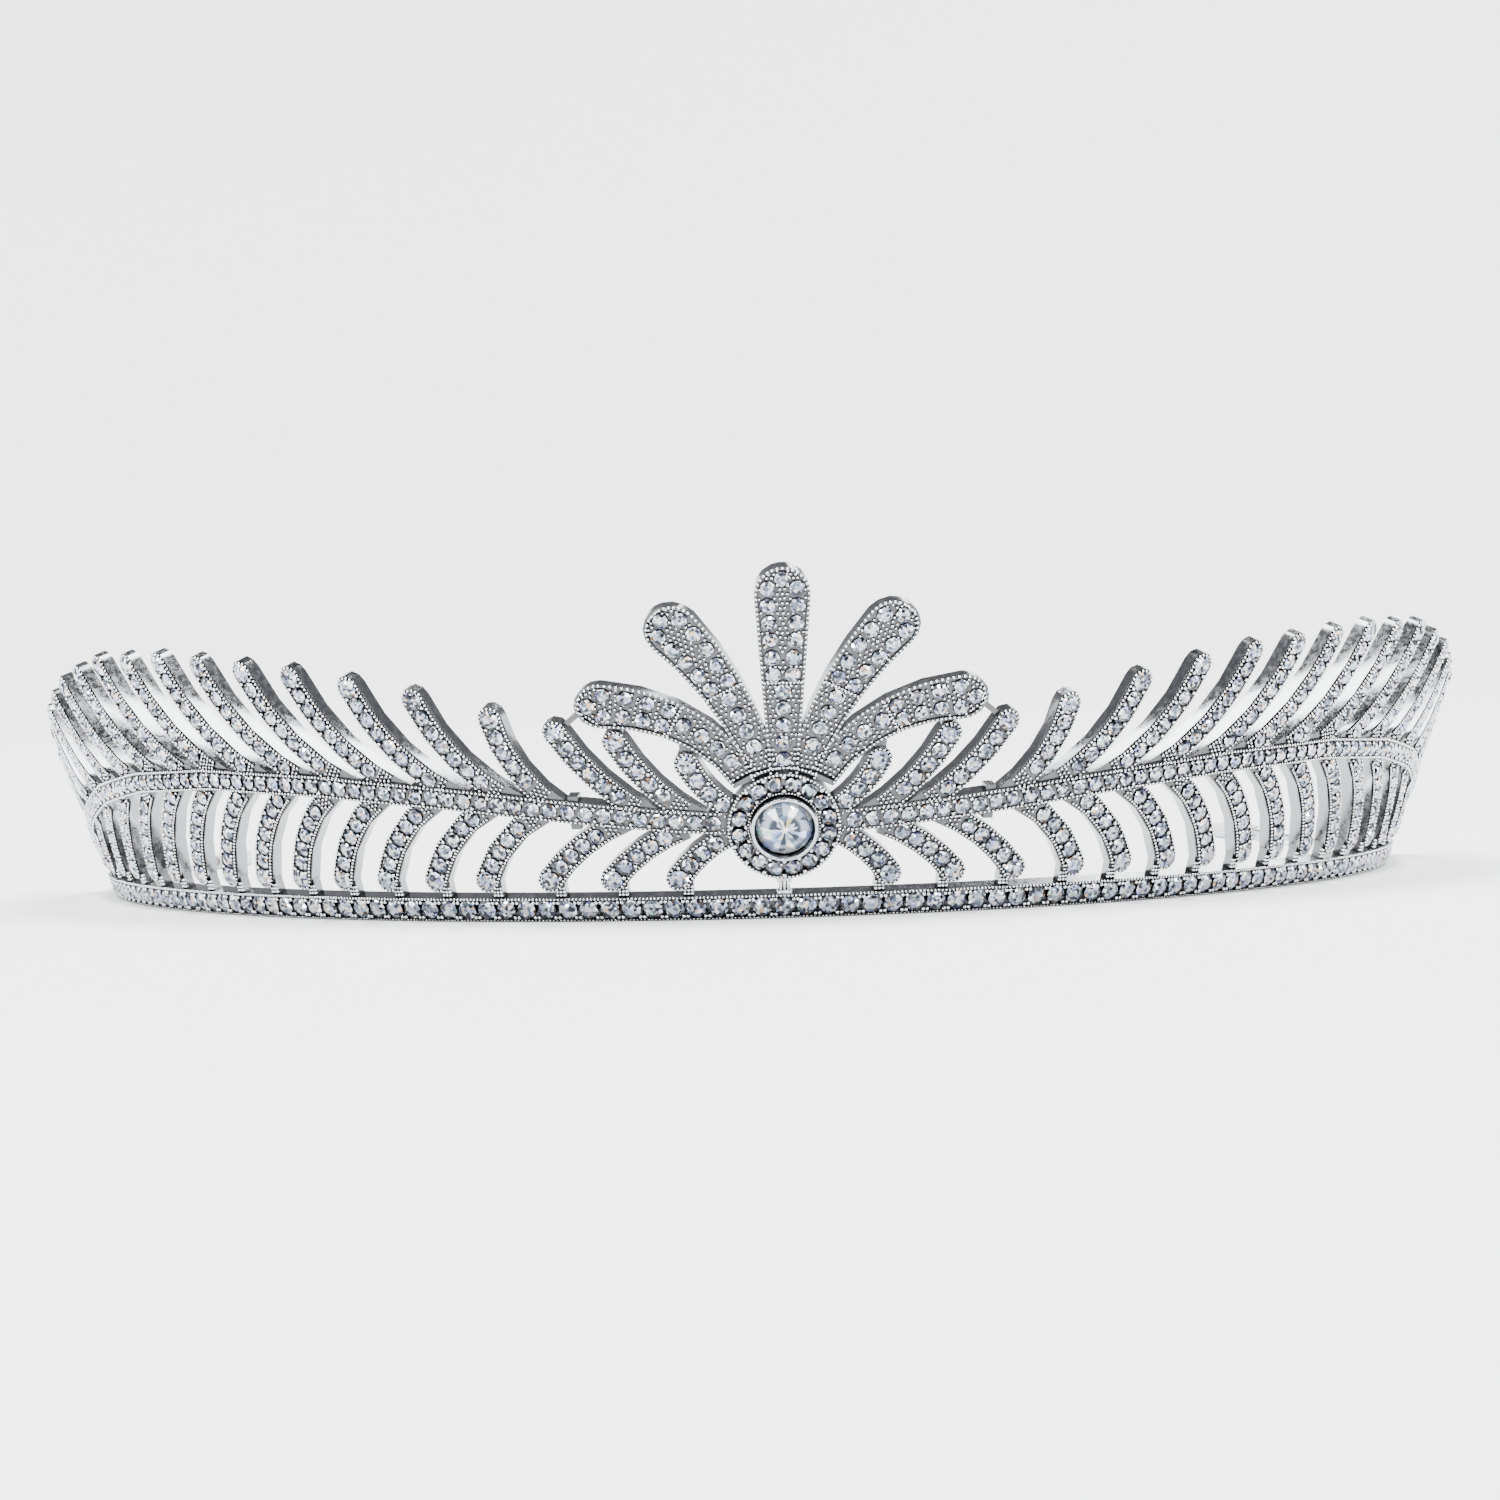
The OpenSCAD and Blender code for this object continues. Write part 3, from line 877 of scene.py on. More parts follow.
class Stamp:
    """A small shape that is pressed many times into one piece."""

    def __init__(self, shape: Mesh, material: Material, slot: str,
                 luck: random.Random | None = None) -> None:
        """Starts an empty piece.

        Args:
            shape: The small shape, of radius 1.
            material: The piece's finish.
            slot: The record's slot for it.
            luck: What turns each copy at random, if anything does.
        """
        self.shape, self.material, self.slot, self.luck = shape, material, slot, luck
        self.rest = [0.0] * (3 * len(shape.vertices))
        shape.vertices.foreach_get("co", self.rest)
        self.bm = bmesh.new()

    def press(self, seat: Matrix, size: float) -> None:
        """Adds one copy.

        Args:
            seat: Its frame.
            size: Its radius.
        """
        turn = self.luck.uniform(0, math.tau) if self.luck else 0.0
        own = Matrix.Rotation(turn, 4, "Z") @ Matrix.Scale(size, 4)
        self.shape.vertices.foreach_set("co", self.rest)
        self.shape.transform(TO_METRES @ seat @ own)
        self.bm.from_mesh(self.shape)

    def press_all(self, seats: Iterable[Matrix], size: float) -> None:
        """Adds a copy in each of several frames."""
        for seat in seats:
            self.press(seat, size)

    def finish(self, name: str, node: str = "") -> None:
        """Turns the copies into one piece.

        Args:
            name: The piece's name.
            node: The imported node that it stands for, if any.
        """
        self.shape.vertices.foreach_set("co", self.rest)
        add_piece(name, self.bm, self.material, self.slot, node)


@dataclass
class Workshop:
    """The small shapes, the finishes and the luck that the assemblies share."""

    finishes: Finishes
    small: Mesh = field(default_factory=lambda: cut_stone(Cut.SMALL))
    bead: Mesh = field(default_factory=round_bead)
    luck: random.Random = field(default_factory=lambda: random.Random(SEED))
    looseness: float = 0.05

    def stones(self) -> Stamp:
        """A new field of small stones."""
        return Stamp(self.small, self.finishes.stones, "stone", self.luck)

    def beads(self) -> Stamp:
        """A new run of beads."""
        return Stamp(self.bead, self.finishes.bead, "cast_metal")

    def slip(self) -> float:
        """A small random distance, as of beads raised by hand."""
        return self.luck.uniform(-self.looseness, self.looseness)


@dataclass(frozen=True)
class Prongs:
    """Two beads between stones: distances off the row, height on the metal, radius."""

    offs: Pair
    up: float
    r: float


@dataclass
class LeafSprays:
    """Stones and beads of the curved leaf pairs.

    Near the seam and the ends there is less room, and the leaves shrink with it. The
    last few, late, also lose width. A row of the middle casting's leaves gives the s and
    h of a leaf's root, and then those of its tip.
    """

    shop: Workshop
    pairs: int = 16
    pitch: float = 5.5
    first: float = 28.5
    half_w: float = 1.25
    root_part: float = 0.85
    late: int = 4
    late_loss: float = 0.06
    front: float = 0.65
    set_back: float = 0.05
    upper_turn: float = 47.0
    upper_run: float = 10.6
    upper_room: float = 12.0
    upper_from: float = 19.9
    lower_turn: float = -42.0
    lower_run: float = 7.8
    lower_room: float = 9.0
    least_room: float = 2.4
    low_tip: float = 4.6
    centre_part: float = 0.7
    centre_upper: tuple[tuple[float, ...], ...] = (
        (4.6, 11.6, 8.4, 16.4), (7.4, 10.6, 14.5, 18.8), (11.4, 10.8, 19.7, 19.9))
    centre_lower: tuple[tuple[float, ...], ...] = (
        (5.0, 8.9, 9.8, 4.6), (8.8, 9.8, 16.0, 4.6), (14.0, 10.8, 22.1, 4.6))
    stone_r: float = 0.78
    stone_up: float = 0.15
    stone_pitch: float = 1.68
    stone_room: float = 1.75
    tip_r: float = 0.98
    tip_gap: float = 0.12
    prongs: Prongs = Prongs((-0.66, 0.66), 0.16, 0.23)
    bead_r: float = 0.165
    bead_up: float = 0.1
    bead_pitch: float = 0.41
    bead_room: float = 1.0
    edge: float = 0.20
    end_edge: float = 0.18
    root_gap: float = 1.0
    stagger: float = 0.1

    def leaf(self, row: tuple[float, ...], turn: float, w: float, front: float,
             side: Side) -> Blade:
        """One leaf, from the places of its root and tip and its half width."""
        return Blade(row[:2], row[2:], turn, w * self.root_part, w, front, side)

    def leaves(self, side: Side) -> Iterator[Blade]:
        """Goes through the leaves of one side.

        Args:
            side: The side.

        Yields:
            The leaves of the middle casting, and then those of the side casting.
        """
        for rows, turn in ((self.centre_upper, self.upper_turn),
                           (self.centre_lower, self.lower_turn)):
            for row in rows:
                yield self.leaf(row, turn * self.centre_part, self.half_w, self.front, side)
        for k in range(self.pairs):
            low = self.first + k * self.pitch
            up = low + PROFILE.shift(low)
            w = self.half_w * (1 - self.late_loss * max(0, k - self.pairs + self.late))
            front = self.front - self.set_back * (k % 2)
            room = PROFILE.tip(up) - PROFILE.spine(up)
            root = max(up - self.upper_run * min(1, room / self.upper_room), self.upper_from)
            row = (root, PROFILE.spine(root), up, PROFILE.tip(up))
            yield self.leaf(row, self.upper_turn, w, front, side)
            room = PROFILE.spine(low) - self.low_tip
            if room > self.least_room:
                root = low - self.lower_run * min(1, room / self.lower_room)
                row = (root, PROFILE.spine(root), low, self.low_tip)
                yield self.leaf(row, self.lower_turn, w, front, side)

    def set_stones(self, leaf: Blade, stones: Stamp, beads: Stamp) -> float:
        """Sets one leaf's row of stones, with two beads at each gap.

        Args:
            leaf: The leaf.
            stones: Where the stones go.
            beads: Where the beads go.

        Returns:
            The part of the way at which the row ends.
        """
        scale = leaf.tip_w / self.half_w
        big, small = self.tip_r * scale, self.stone_r * scale
        stone_d, prong_d = leaf.front + self.stone_up, leaf.front + self.prongs.up
        stones.press(leaf.seat(1.0, 0, stone_d), big)
        second = leaf.steps(big + small + self.tip_gap)
        if len(second) < 2:
            return 1.0
        last = 1.0
        for t in leaf.steps(self.stone_pitch * scale, second[1]):
            if leaf.clears_spine(t, self.stone_room):
                stones.press(leaf.seat(t, 0, stone_d), small)
                beads.press_all((leaf.seat((t + last) / 2, off * scale, prong_d)
                                 for off in self.prongs.offs), self.prongs.r)
                last = t
        return last

    def set_edges(self, leaf: Blade, row_end: float, beads: Stamp) -> None:
        """Beads both edges of a leaf, its round end and its root.

        Args:
            leaf: The leaf.
            row_end: Where the row of stones ends.
            beads: Where the beads go.
        """
        d = leaf.front + self.bead_up
        steps = [t for t in leaf.steps(self.bead_pitch)
                 if leaf.clears_spine(t, self.bead_room)]
        root_from = row_end - self.root_gap / leaf.run
        for i, t in enumerate(steps):
            rim = leaf.width(t) - self.edge
            beads.press_all((leaf.seat(t, off, d) for off in (-rim, rim)), self.bead_r)
            if t < root_from:
                count = max(1, round(2 * rim / self.bead_pitch) - 1)
                for j in range(1, count + 1):
                    off = -rim + 2 * rim * j / (count + 1) + self.stagger * (-1) ** i
                    beads.press(leaf.seat(t, off + self.shop.slip(), d), self.bead_r)
        beads.press_all(leaf.round_end(leaf.tip_w - self.end_edge, d, self.bead_pitch),
                        self.bead_r)

    def build(self) -> None:
        """Builds the stones and beads of both sides."""
        for side in Side:
            stones, beads = self.shop.stones(), self.shop.beads()
            for leaf in self.leaves(side):
                self.set_edges(leaf, self.set_stones(leaf, stones, beads), beads)
            stones.finish(f"{side.word}_leaf_stones")
            beads.finish(f"{side.word}_leaf_beads")


@dataclass
class Spine:
    """Stones and beads of the curved spine that carries the leaves."""

    shop: Workshop
    start: float = 6.35
    end: float = 111.6
    front: float = 0.77
    stone_r: float = 0.74
    stone_up: float = 0.13
    stone_pitch: float = 1.74
    prongs: Prongs = Prongs((-0.62, 0.62), 0.16, 0.21)
    edges: Pair = (-0.97, 0.97)
    bead_from: float = 5.75
    bead_to: float = 112.4
    bead_r: float = 0.165
    bead_up: float = 0.06
    bead_pitch: float = 0.42

    def walk(self, start: float, end: float, pitch: float) -> Iterator[Pair]:
        """Walks along the spine.

        Args:
            start: The first place.
            end: Where the walk stops.
            pitch: True distance between two places.

        Yields:
            Each place and the step to the next.
        """
        while start < end:
            step = pitch / BAND.stretch(start, PROFILE.spine(start))
            yield start, step
            start += step

    def seat(self, side: Side, s: float, off: float, up: float) -> Matrix:
        """A frame beside the spine's middle line."""
        return BAND.seat(side.value * s, PROFILE.spine(s) + off, self.front + up)

    def build(self) -> None:
        """Builds the stones and beads of both halves."""
        stones, beads = self.shop.stones(), self.shop.beads()
        for side in Side:
            for s, step in self.walk(self.start, self.end, self.stone_pitch):
                stones.press(self.seat(side, s, 0, self.stone_up), self.stone_r)
                beads.press_all((self.seat(side, s + step / 2, off, self.prongs.up)
                                 for off in self.prongs.offs), self.prongs.r)
            for s, _ in self.walk(self.bead_from, self.bead_to, self.bead_pitch):
                beads.press_all((self.seat(side, s, off, self.bead_up)
                                 for off in self.edges), self.bead_r)
        stones.finish("spine_stones")
        beads.finish("spine_beads")


@dataclass
class Fan:
    """Stones, beads and the beds between them in the five plumes.

    middle and sides give each plume as the fields of a Blade. rim is the width of a
    plume's wall, depth how deep its recess is, and bed_depth how far under the wall's
    top its bed lies.
    """

    shop: Workshop
    middle: tuple[float | Pair, ...] = ((0, 15.0), (0, 33.5), 0.01, 1.35, 2.66, 0.8)
    sides: tuple[tuple[float | Pair, ...], ...] = (
        ((1.6, 14.9), (8.9, 29.9), -24, 1.3, 2.6, 0.7),
        ((3.2, 14.4), (15.5, 22.5), -62, 1.4, 2.25, 0.6))
    rim: float = 0.3
    rim_up: float = 0.03
    depth: float = 0.55
    bed_depth: float = 0.16
    bed_from: float = 0.85
    bed_steps: int = 24
    end_steps: int = 6
    end_part: float = 0.97
    stone_r: float = 0.76
    pitch: float = 1.74
    closeness: float = 0.96
    single_gap: float = 0.95
    pair_part: float = 0.45
    root_room: float = 1.55
    spacing: float = 0.12
    girdle: float = 0.60
    bead_pitch: float = 0.49
    bead_r: float = 0.175
    bead_up: float = 0.1
    cap_rows: int = 6
    cap_step: float = 0.14
    bead_edge: float = 0.1
    touch: float = 0.35
    unevenness: float = 0.4
    fence_pitch: float = 0.36

    def plumes(self) -> Iterator[Blade]:
        """Goes through the plumes.

        Yields:
            The middle plume, and then those of each side.
        """
        yield Blade(*self.middle)
        for side in Side:
            for row in self.sides:
                yield Blade(*row, side)

    def layout(self, plume: Blade) -> tuple[list[Triple], float]:
        """Works out where a plume's stones lie.

        Args:
            plume: The plume.

        Returns:
            The stones as part of the way, distance to the side and radius, and the
            part at which the two rows give way to one.
        """
        run, r = plume.run, self.stone_r
        wall = self.rim + self.spacing
        apex = plume.tip_w - wall - r
        near = self.pitch * self.closeness
        if near < apex * math.sqrt(2):
            swing = 2 * math.asin(near / 2 / apex)
            first = apex * math.cos(swing)
        else:
            swing = math.pi / 2
            first = apex - math.sqrt(near * near - apex * apex)
        pairs = math.floor((first + self.pair_part * run) / self.pitch)
        rest = first - (pairs + self.single_gap) * self.pitch
        stones = [(1 + apex / run, 0.0, r)]
        for i in range(pairs + 1):
            t = 1 + (first - i * self.pitch) / run
            r = min(self.stone_r, (plume.width(t) - wall - self.spacing / 2) / 2)
            off = apex * math.sin(swing) if i == 0 else plume.width(t) - wall - r
            stones += [(t, off, r), (t, -off, r)]
        for i in range(math.floor((run + rest - self.root_room) / self.pitch) + 1):
            stones.append((1 + (rest - i * self.pitch) / run, 0.0, self.stone_r))
        return stones, 1 + (rest + self.pitch / 2) / run

    def lay_bed(self, plume: Blade, bm: BMesh) -> None:
        """Raises the floor of a plume's recess, so that its beads stand on metal.

        Args:
            plume: The plume.
            bm: Where the bed goes.
        """
        d = plume.front - self.bed_depth
        start = self.bed_from / plume.run
        seats = []
        for i in range(self.bed_steps + 1):
            t = start + (1 - start) * i / self.bed_steps
            seats.append((plume.seat(t, 0, d), plume.width(t) - self.rim))
        end, w = seats[-1]
        for i in range(1, self.end_steps + 1):
            a = math.pi / 2 * i / self.end_steps * self.end_part
            seats.append((end @ Matrix.Translation((w * math.sin(a), 0, 0)), w * math.cos(a)))
        rungs = [[MM * (seat @ Vector((0, off, 0))) for off in (half, -half)]
                 for seat, half in seats]
        edge = bm.edges.new([bmesh.ops.create_vert(bm, co=p)["vert"][0] for p in rungs[0]])
        top: list[BMFace] = []
        for places in rungs[1:]:
            grown = bmesh.ops.extrude_edge_only(bm, edges=[edge])["geom"]
            new = only(BMVert, grown)
            edge = next(e for e in only(BMEdge, grown) if all(v in new for v in e.verts))
            top += only(BMFace, grown)
            for vert, place in zip(edge.verts, places):
                vert.co = place
        under = bmesh.ops.extrude_face_region(bm, geom=top)["geom"]
        drop = BAND.seat(0, 0, 0).to_3x3() @ Vector((0, 0, self.bed_depth - self.depth))
        bmesh.ops.translate(bm, vec=drop * MM, verts=only(BMVert, under))

    def set_beads(self, plume: Blade, stones: list[Triple], change: float,
                  beads: Stamp) -> None:
        """Beads a plume's rim and the bed round its stones.

        Args:
            plume: The plume.
            stones: Its stones.
            change: Where two rows give way to one.
            beads: Where the beads go.
        """
        rim_d = plume.front + self.rim_up
        bed_d = plume.front - self.bed_depth + self.bead_up
        fine = plume.steps(self.bead_pitch)
        for t in fine:
            edge = plume.width(t) - self.rim / 2
            beads.press_all((plume.seat(t, off, rim_d) for off in (-edge, edge)), self.bead_r)
        reach = plume.tip_w / plume.run
        cap = [1 + reach * (1 - i * self.cap_step) for i in range(1, self.cap_rows + 1)]
        places = [(plume.seat(t, off, 0).translation, r) for t, off, r in stones]
        for i, t in enumerate(cap + fine):
            if t < self.bed_from / plume.run:
                continue
            ahead = max(0.0, (t - 1) * plume.run)
            half = math.sqrt(max(0.0, plume.width(t) ** 2 - ahead ** 2))
            half -= self.rim + self.bead_edge
            off = -half + (half + self.bead_pitch / 2 * (i % 2)) % self.bead_pitch
            while off < half:
                flat = plume.seat(t, off, 0).translation
                if min((flat - at).length - r for at, r in places) > self.bead_r * self.touch:
                    seat = plume.seat(t + self.shop.slip() / plume.run,
                                      off + self.shop.slip(), bed_d)
                    beads.press(seat, self.bead_r + self.shop.slip() * self.unevenness)
                off += self.bead_pitch
        half = plume.width(change) - self.rim
        count = round(2 * half / self.fence_pitch)
        beads.press_all((plume.seat(change, half * (2 * i / count - 1), plume.front)
                         for i in range(count + 1)), self.bead_r)
        rim = plume.tip_w - self.rim / 2
        beads.press_all(plume.round_end(rim, rim_d, self.bead_pitch), self.bead_r)

    def build(self) -> None:
        """Builds the fan's stones, beads and beds."""
        gems, beads = self.shop.stones(), self.shop.beads()
        bm = bmesh.new()
        for plume in self.plumes():
            stones, change = self.layout(plume)
            for t, off, r in stones:
                gems.press(plume.seat(t, off, plume.front - self.depth + self.girdle), r)
            self.set_beads(plume, stones, change, beads)
            self.lay_bed(plume, bm)
        bmesh.ops.recalc_face_normals(bm, faces=bm.faces[:])
        # The beds take the darker bed finish: painted shade between the fan's beads.
        add_piece("fan_beds", bm, self.shop.finishes.shaded_bed, "cast_metal")
        gems.finish("fan_stones", "plume_stones")
        beads.finish("fan_beads")


@dataclass
class Halo:
    """The main stone and the ring of stones and beads round it.

    rims gives the radius of each rim of fine beads and a bead's own radius, and roll
    the radius, thickness and height of the bezel's lip.
    """

    shop: Workshop
    height: float = 9.9
    front: float = 0.9
    main_r: float = 2.75
    main_d: float = 1.07
    count: int = 16
    middle: float = 4.355
    stone_r: float = 0.74
    stone_d: float = 0.95
    prongs: Prongs = Prongs((-0.72, 0.74), 0.06, 0.24)
    rims: tuple[Pair, ...] = ((5.31, 0.17), (3.41, 0.14))
    rim_up: float = 0.04
    rim_pitch: float = 2.2
    crest: float = 5.95
    crest_arc: float = math.radians(62)
    crest_pitch: float = 0.36
    crest_d: float = 0.72
    crest_r: float = 0.18
    roll: Triple = (3.07, 0.17, 1.79)
    roll_steps: int = 96
    roll_sides: int = 14

    def at(self, radius: float, angle: float, d: float) -> Matrix:
        """A frame on a ring round the main stone."""
        turn = Matrix.Rotation(angle, 4, "Z") @ Matrix.Translation((radius, 0, d))
        return BAND.seat(0, self.height, 0) @ turn

    def roll_lip(self) -> None:
        """Lays the polished roll that closes the bezel over the main stone."""
        middle, thick, d = self.roll
        bm = bmesh.new()
        ring = bmesh.ops.create_circle(bm, segments=self.roll_sides, radius=thick,
                                       matrix=Matrix.Translation((middle, 0, d)) @ UPRIGHT)
        bmesh.ops.spin(bm, geom=[*ring["verts"], *edges_at(ring["verts"])], cent=(0, 0, 0),
                       axis=(0, 0, 1), angle=math.tau, steps=self.roll_steps,
                       use_merge=True)
        bmesh.ops.transform(bm, matrix=TO_METRES @ BAND.seat(0, self.height, 0),
                            verts=bm.verts[:])
        bmesh.ops.recalc_face_normals(bm, faces=bm.faces[:])
        smooth_faces(bm)
        add_piece("bezel_roll", bm, self.shop.finishes.roll, "polished_metal")

    def build(self) -> None:
        """Builds the halo's stones, its beads and the main stone."""
        stones, beads = self.shop.stones(), self.shop.beads()
        step = math.tau / self.count
        for i in range(self.count):
            stones.press(self.at(self.middle, step * (i + 0.5), self.stone_d), self.stone_r)
            beads.press_all((self.at(self.middle + off, step * i, self.front + self.prongs.up)
                             for off in self.prongs.offs), self.prongs.r)
        for radius, size in self.rims:
            number = round(math.tau * radius / (self.rim_pitch * size))
            beads.press_all((self.at(radius, math.tau * i / number, self.front + self.rim_up)
                             for i in range(number)), size)
        count = round(self.crest_arc * self.crest / self.crest_pitch)
        for i in range(count + 1):
            angle = math.pi / 2 + self.crest_arc * (i / count - 0.5)
            beads.press(self.at(self.crest, angle, self.crest_d), self.crest_r)
        stones.finish("halo_ring_stones", "halo_stones")
        beads.finish("halo_beads")
        self.roll_lip()
        main = Stamp(cut_stone(Cut.BRILLIANT), self.shop.finishes.brilliant, "stone")
        main.press(BAND.seat(0, self.height, self.main_d), self.main_r)
        main.finish("main_brilliant", "main_stone")


@dataclass
class BaseBar:
    """The row of stones along the base bar, with beaded edges.

    seat_r is the radius of the stones' seats, which gives how many there are.
    """

    shop: Workshop
    height: float = 2.75
    thick: float = 1.5
    stone_r: float = 0.96
    seat_r: float = 0.88
    pitch: float = 2.08
    girdle: float = 0.70
    seam: float = 21.84
    length: float = 121.19
    end_gap: float = 0.3
    prongs: Prongs = Prongs((-0.78, 0.78), 0.05, 0.22)
    prong_sides: Pair = (-0.2, 0.2)
    bead_r: float = 0.15
    bead_up: float = 0.02
    bead_pitch: float = 0.36
    edge: float = 0.13

    def build(self) -> None:
        """Builds the bar's stones in three runs, and its beads."""
        sole = math.tan(BAND.flare) * self.thick / 2
        mid = (self.height + sole) / 2
        front = self.thick / 2
        seam_stone = math.floor((self.seam - self.seat_r) / self.pitch)
        end_stone = math.floor((self.length - self.seat_r - self.end_gap) / self.pitch)
        runs = {"centre": range(-seam_stone, seam_stone + 1),
                "left": range(-end_stone, -seam_stone),
                "right": range(seam_stone + 1, end_stone + 1)}
        beads = self.shop.beads()
        for word, places in runs.items():
            stones = self.shop.stones()
            for i in places:
                stones.press(BAND.seat(i * self.pitch, mid, self.girdle), self.stone_r)
                gap = (i + 0.5) * self.pitch
                beads.press_all((BAND.seat(gap + side, mid + off, front + self.prongs.up)
                                 for off in self.prongs.offs for side in self.prong_sides),
                                self.prongs.r)
            stones.finish(f"{word}_base_stones", f"{word}_bar_stones")
        count = math.floor(self.length / self.bead_pitch)
        beads.press_all((BAND.seat(i * self.bead_pitch, h, front + self.bead_up)
                         for i in range(-count, count + 1)
                         for h in (sole + self.edge, self.height - self.edge)), self.bead_r)
        beads.finish("bar_beads")


@dataclass
class Metalwork:
    """The plated castings, headband, wires and bezel, with their curves smooth.

    crease is the sharpest edge that is still smooth. A face counts as a front from a
    cosine of facing between it and the band's surface.
    """

    finishes: Finishes
    frame: dict
    crease: float = math.radians(32)
    facing: float = 0.93

    def smooth_copy(self, node: str, name: str, material: Material, slot: str) -> Object:
        """Replaces a node with a copy whose shallow edges are smooth.

        Args:
            node: The node's name.
            name: The copy's name.
            material: Its finish.
            slot: The record's slot for it.

        Returns:
            The copy.
        """
        bm = copy_node(self.frame, node)
        for edge in bm.edges:
            edge.smooth = (len(edge.link_faces) == 2
                           and edge.calc_face_angle(math.pi) < self.crease)
        piece = add_piece(name, bm, material, slot, node)
        even = piece.modifiers.new("even_shading", "WEIGHTED_NORMAL")
        even.keep_sharp = True
        return piece

    def paint_shade_on_fronts(self, piece: Object) -> None:
        """Gives the faces that carry stones and beads the darker bed finish, which is painted
        shade for the gaps between them.

        Args:
            piece: A casting.
        """
        piece.data.materials.append(self.finishes.shaded_bed)
        for face in piece.data.polygons:
            if face.normal.dot(BAND.outward(face.center / MM)) > self.facing:
                face.material_index = 1

    def build(self) -> None:
        """Dresses every metal node."""
        for word in ("centre", "left", "right"):
            self.paint_shade_on_fronts(self.smooth_copy(
                f"{word}_casting", f"{word}_metal", self.finishes.cast, "cast_metal"))
        for node, name, material in (("gallery_band", "headband", self.finishes.mirror),
                                     ("left_end_wire", "left_wire", self.finishes.mirror),
                                     ("right_end_wire", "right_wire", self.finishes.mirror),
                                     ("bezel", "bezel_ring", self.finishes.lip)):
            self.smooth_copy(node, name, material, "polished_metal")


@dataclass
class Pegs:
    """Beads on each peg, and the ribs and collars of the post."""

    shop: Workshop
    places: Triple = (9.0, 15.2, 21.3)
    pairs: int = 13
    first: float = 27.7
    pitch: float = 5.5
    rows: Triple = (2.95, 3.325, 3.7)
    offs: Triple = (-0.34, 0.0, 0.34)
    bead_r: float = 0.22
    bead_d: float = 0.43
    post: Pair = (2.7, 4.4)
    rib_r: float = 0.15
    rib_d: float = 0.42
    rib_sides: int = 12
    collar: Triple = (1.5, 0.5, 0.55)
    collar_in: float = 0.15
    collar_d: float = 0.35
    bevel: float = 0.12
    bevel_steps: int = 3

    def dress_post(self) -> None:
        """Puts three upright ribs and two collars on the post under the halo."""
        bm = bmesh.new()
        low, high = self.post
        for off in self.offs:
            place = BAND.seat(off, (low + high) / 2, self.rib_d) @ UPRIGHT
            bmesh.ops.create_cone(bm, cap_ends=True, segments=self.rib_sides,
                                  radius1=self.rib_r, radius2=self.rib_r, depth=high - low,
                                  matrix=TO_METRES @ place)
        for h in (low + self.collar_in, high - self.collar_in):
            add_block(bm, BAND.seat(0, h, self.collar_d), self.collar, self.bevel,
                      self.bevel_steps)
        for face in bm.faces:
            face.smooth = len(face.verts) == 4
        add_piece("post_ribs", bm, self.shop.finishes.bead, "cast_metal")

    def build(self) -> None:
        """Dresses the post, and sets the beads of every peg."""
        self.dress_post()
        beads = self.shop.beads()
        pegs = [*self.places, *(self.first + k * self.pitch for k in range(self.pairs))]
        beads.press_all((BAND.seat(side.value * s + off, h, self.bead_d) for side in Side
                         for s in pegs for h in self.rows for off in self.offs), self.bead_r)
        beads.finish("peg_beads")


@dataclass
class BandFittings:
    """Ribs at the ends of the headband's collars, and the points of its prongs.

    A collar is given by its place, its length and how far it stands inside the band.
    """

    finishes: Finishes
    collars: tuple[Triple, ...] = (
        (0.0, 3.0, 0.3), (38.0, 3.0, 0.3), (74.0, 3.0, 0.3), (113.13, 4.0, 0.5))
    inner: float = 2.45
    outer: float = 0.92
    height: float = 1.74
    rib: float = 0.36
    proud: float = 0.1
    rib_up: float = 0.02
    bevel: float = 0.08
    bevel_steps: int = 2
    prong_s: float = 115.13
    prong: Triple = (-1.35, 2.5, 3.4)
    point_offs: Pair = (-0.24, 0.24)
    point_h: float = 0.55
    point_in: float = 0.02
    point_r: Pair = (0.21, 0.05)
    point_sides: int = 16

    def add_ribs(self, bm: BMesh, place: Matrix, length: float, inward: float) -> None:
        """Adds a rib round each end of a collar.

        Args:
            bm: Where the ribs go.
            place: The collar's frame, with Y inwards.
            length: The collar's length.
            inward: How far it stands inside the headband.
        """
        near, far = self.outer - self.proud, self.inner + inward + self.proud
        tall = self.height + self.proud
        for end in (-1, 1):
            at = Matrix.Translation((end * (length - self.rib) / 2, (near + far) / 2,
                                     tall / 2 + self.rib_up))
            add_block(bm, place @ at, (self.rib, far - near, tall), self.bevel,
                      self.bevel_steps)

    def add_points(self, bm: BMesh, place: Matrix) -> None:
        """Adds the two points on top of an end clip's prong.

        Args:
            bm: Where the points go.
            place: The clip's frame, with Y inwards.
        """
        x, y, z = self.prong
        for off in self.point_offs:
            at = Matrix.Translation((x, y + off, z + self.point_h / 2 - self.point_in))
            bmesh.ops.create_cone(bm, cap_ends=True, segments=self.point_sides,
                                  radius1=self.point_r[0], radius2=self.point_r[1],
                                  depth=self.point_h, matrix=TO_METRES @ place @ at)

    def build(self) -> None:
        """Builds the fittings of both sides."""
        bm = bmesh.new()
        for side in Side:
            for s, length, inward in self.collars:
                if s > 0 or side is Side.LEFT:
                    self.add_ribs(bm, BAND.stand(side.value * s), length, inward)
            flip = Matrix.Diagonal((side.value, 1.0, 1.0, 1.0))
            self.add_points(bm, BAND.stand(side.value * self.prong_s) @ flip)
        bmesh.ops.recalc_face_normals(bm, faces=bm.faces[:])
        add_piece("band_fittings", bm, self.finishes.mirror, "polished_metal")


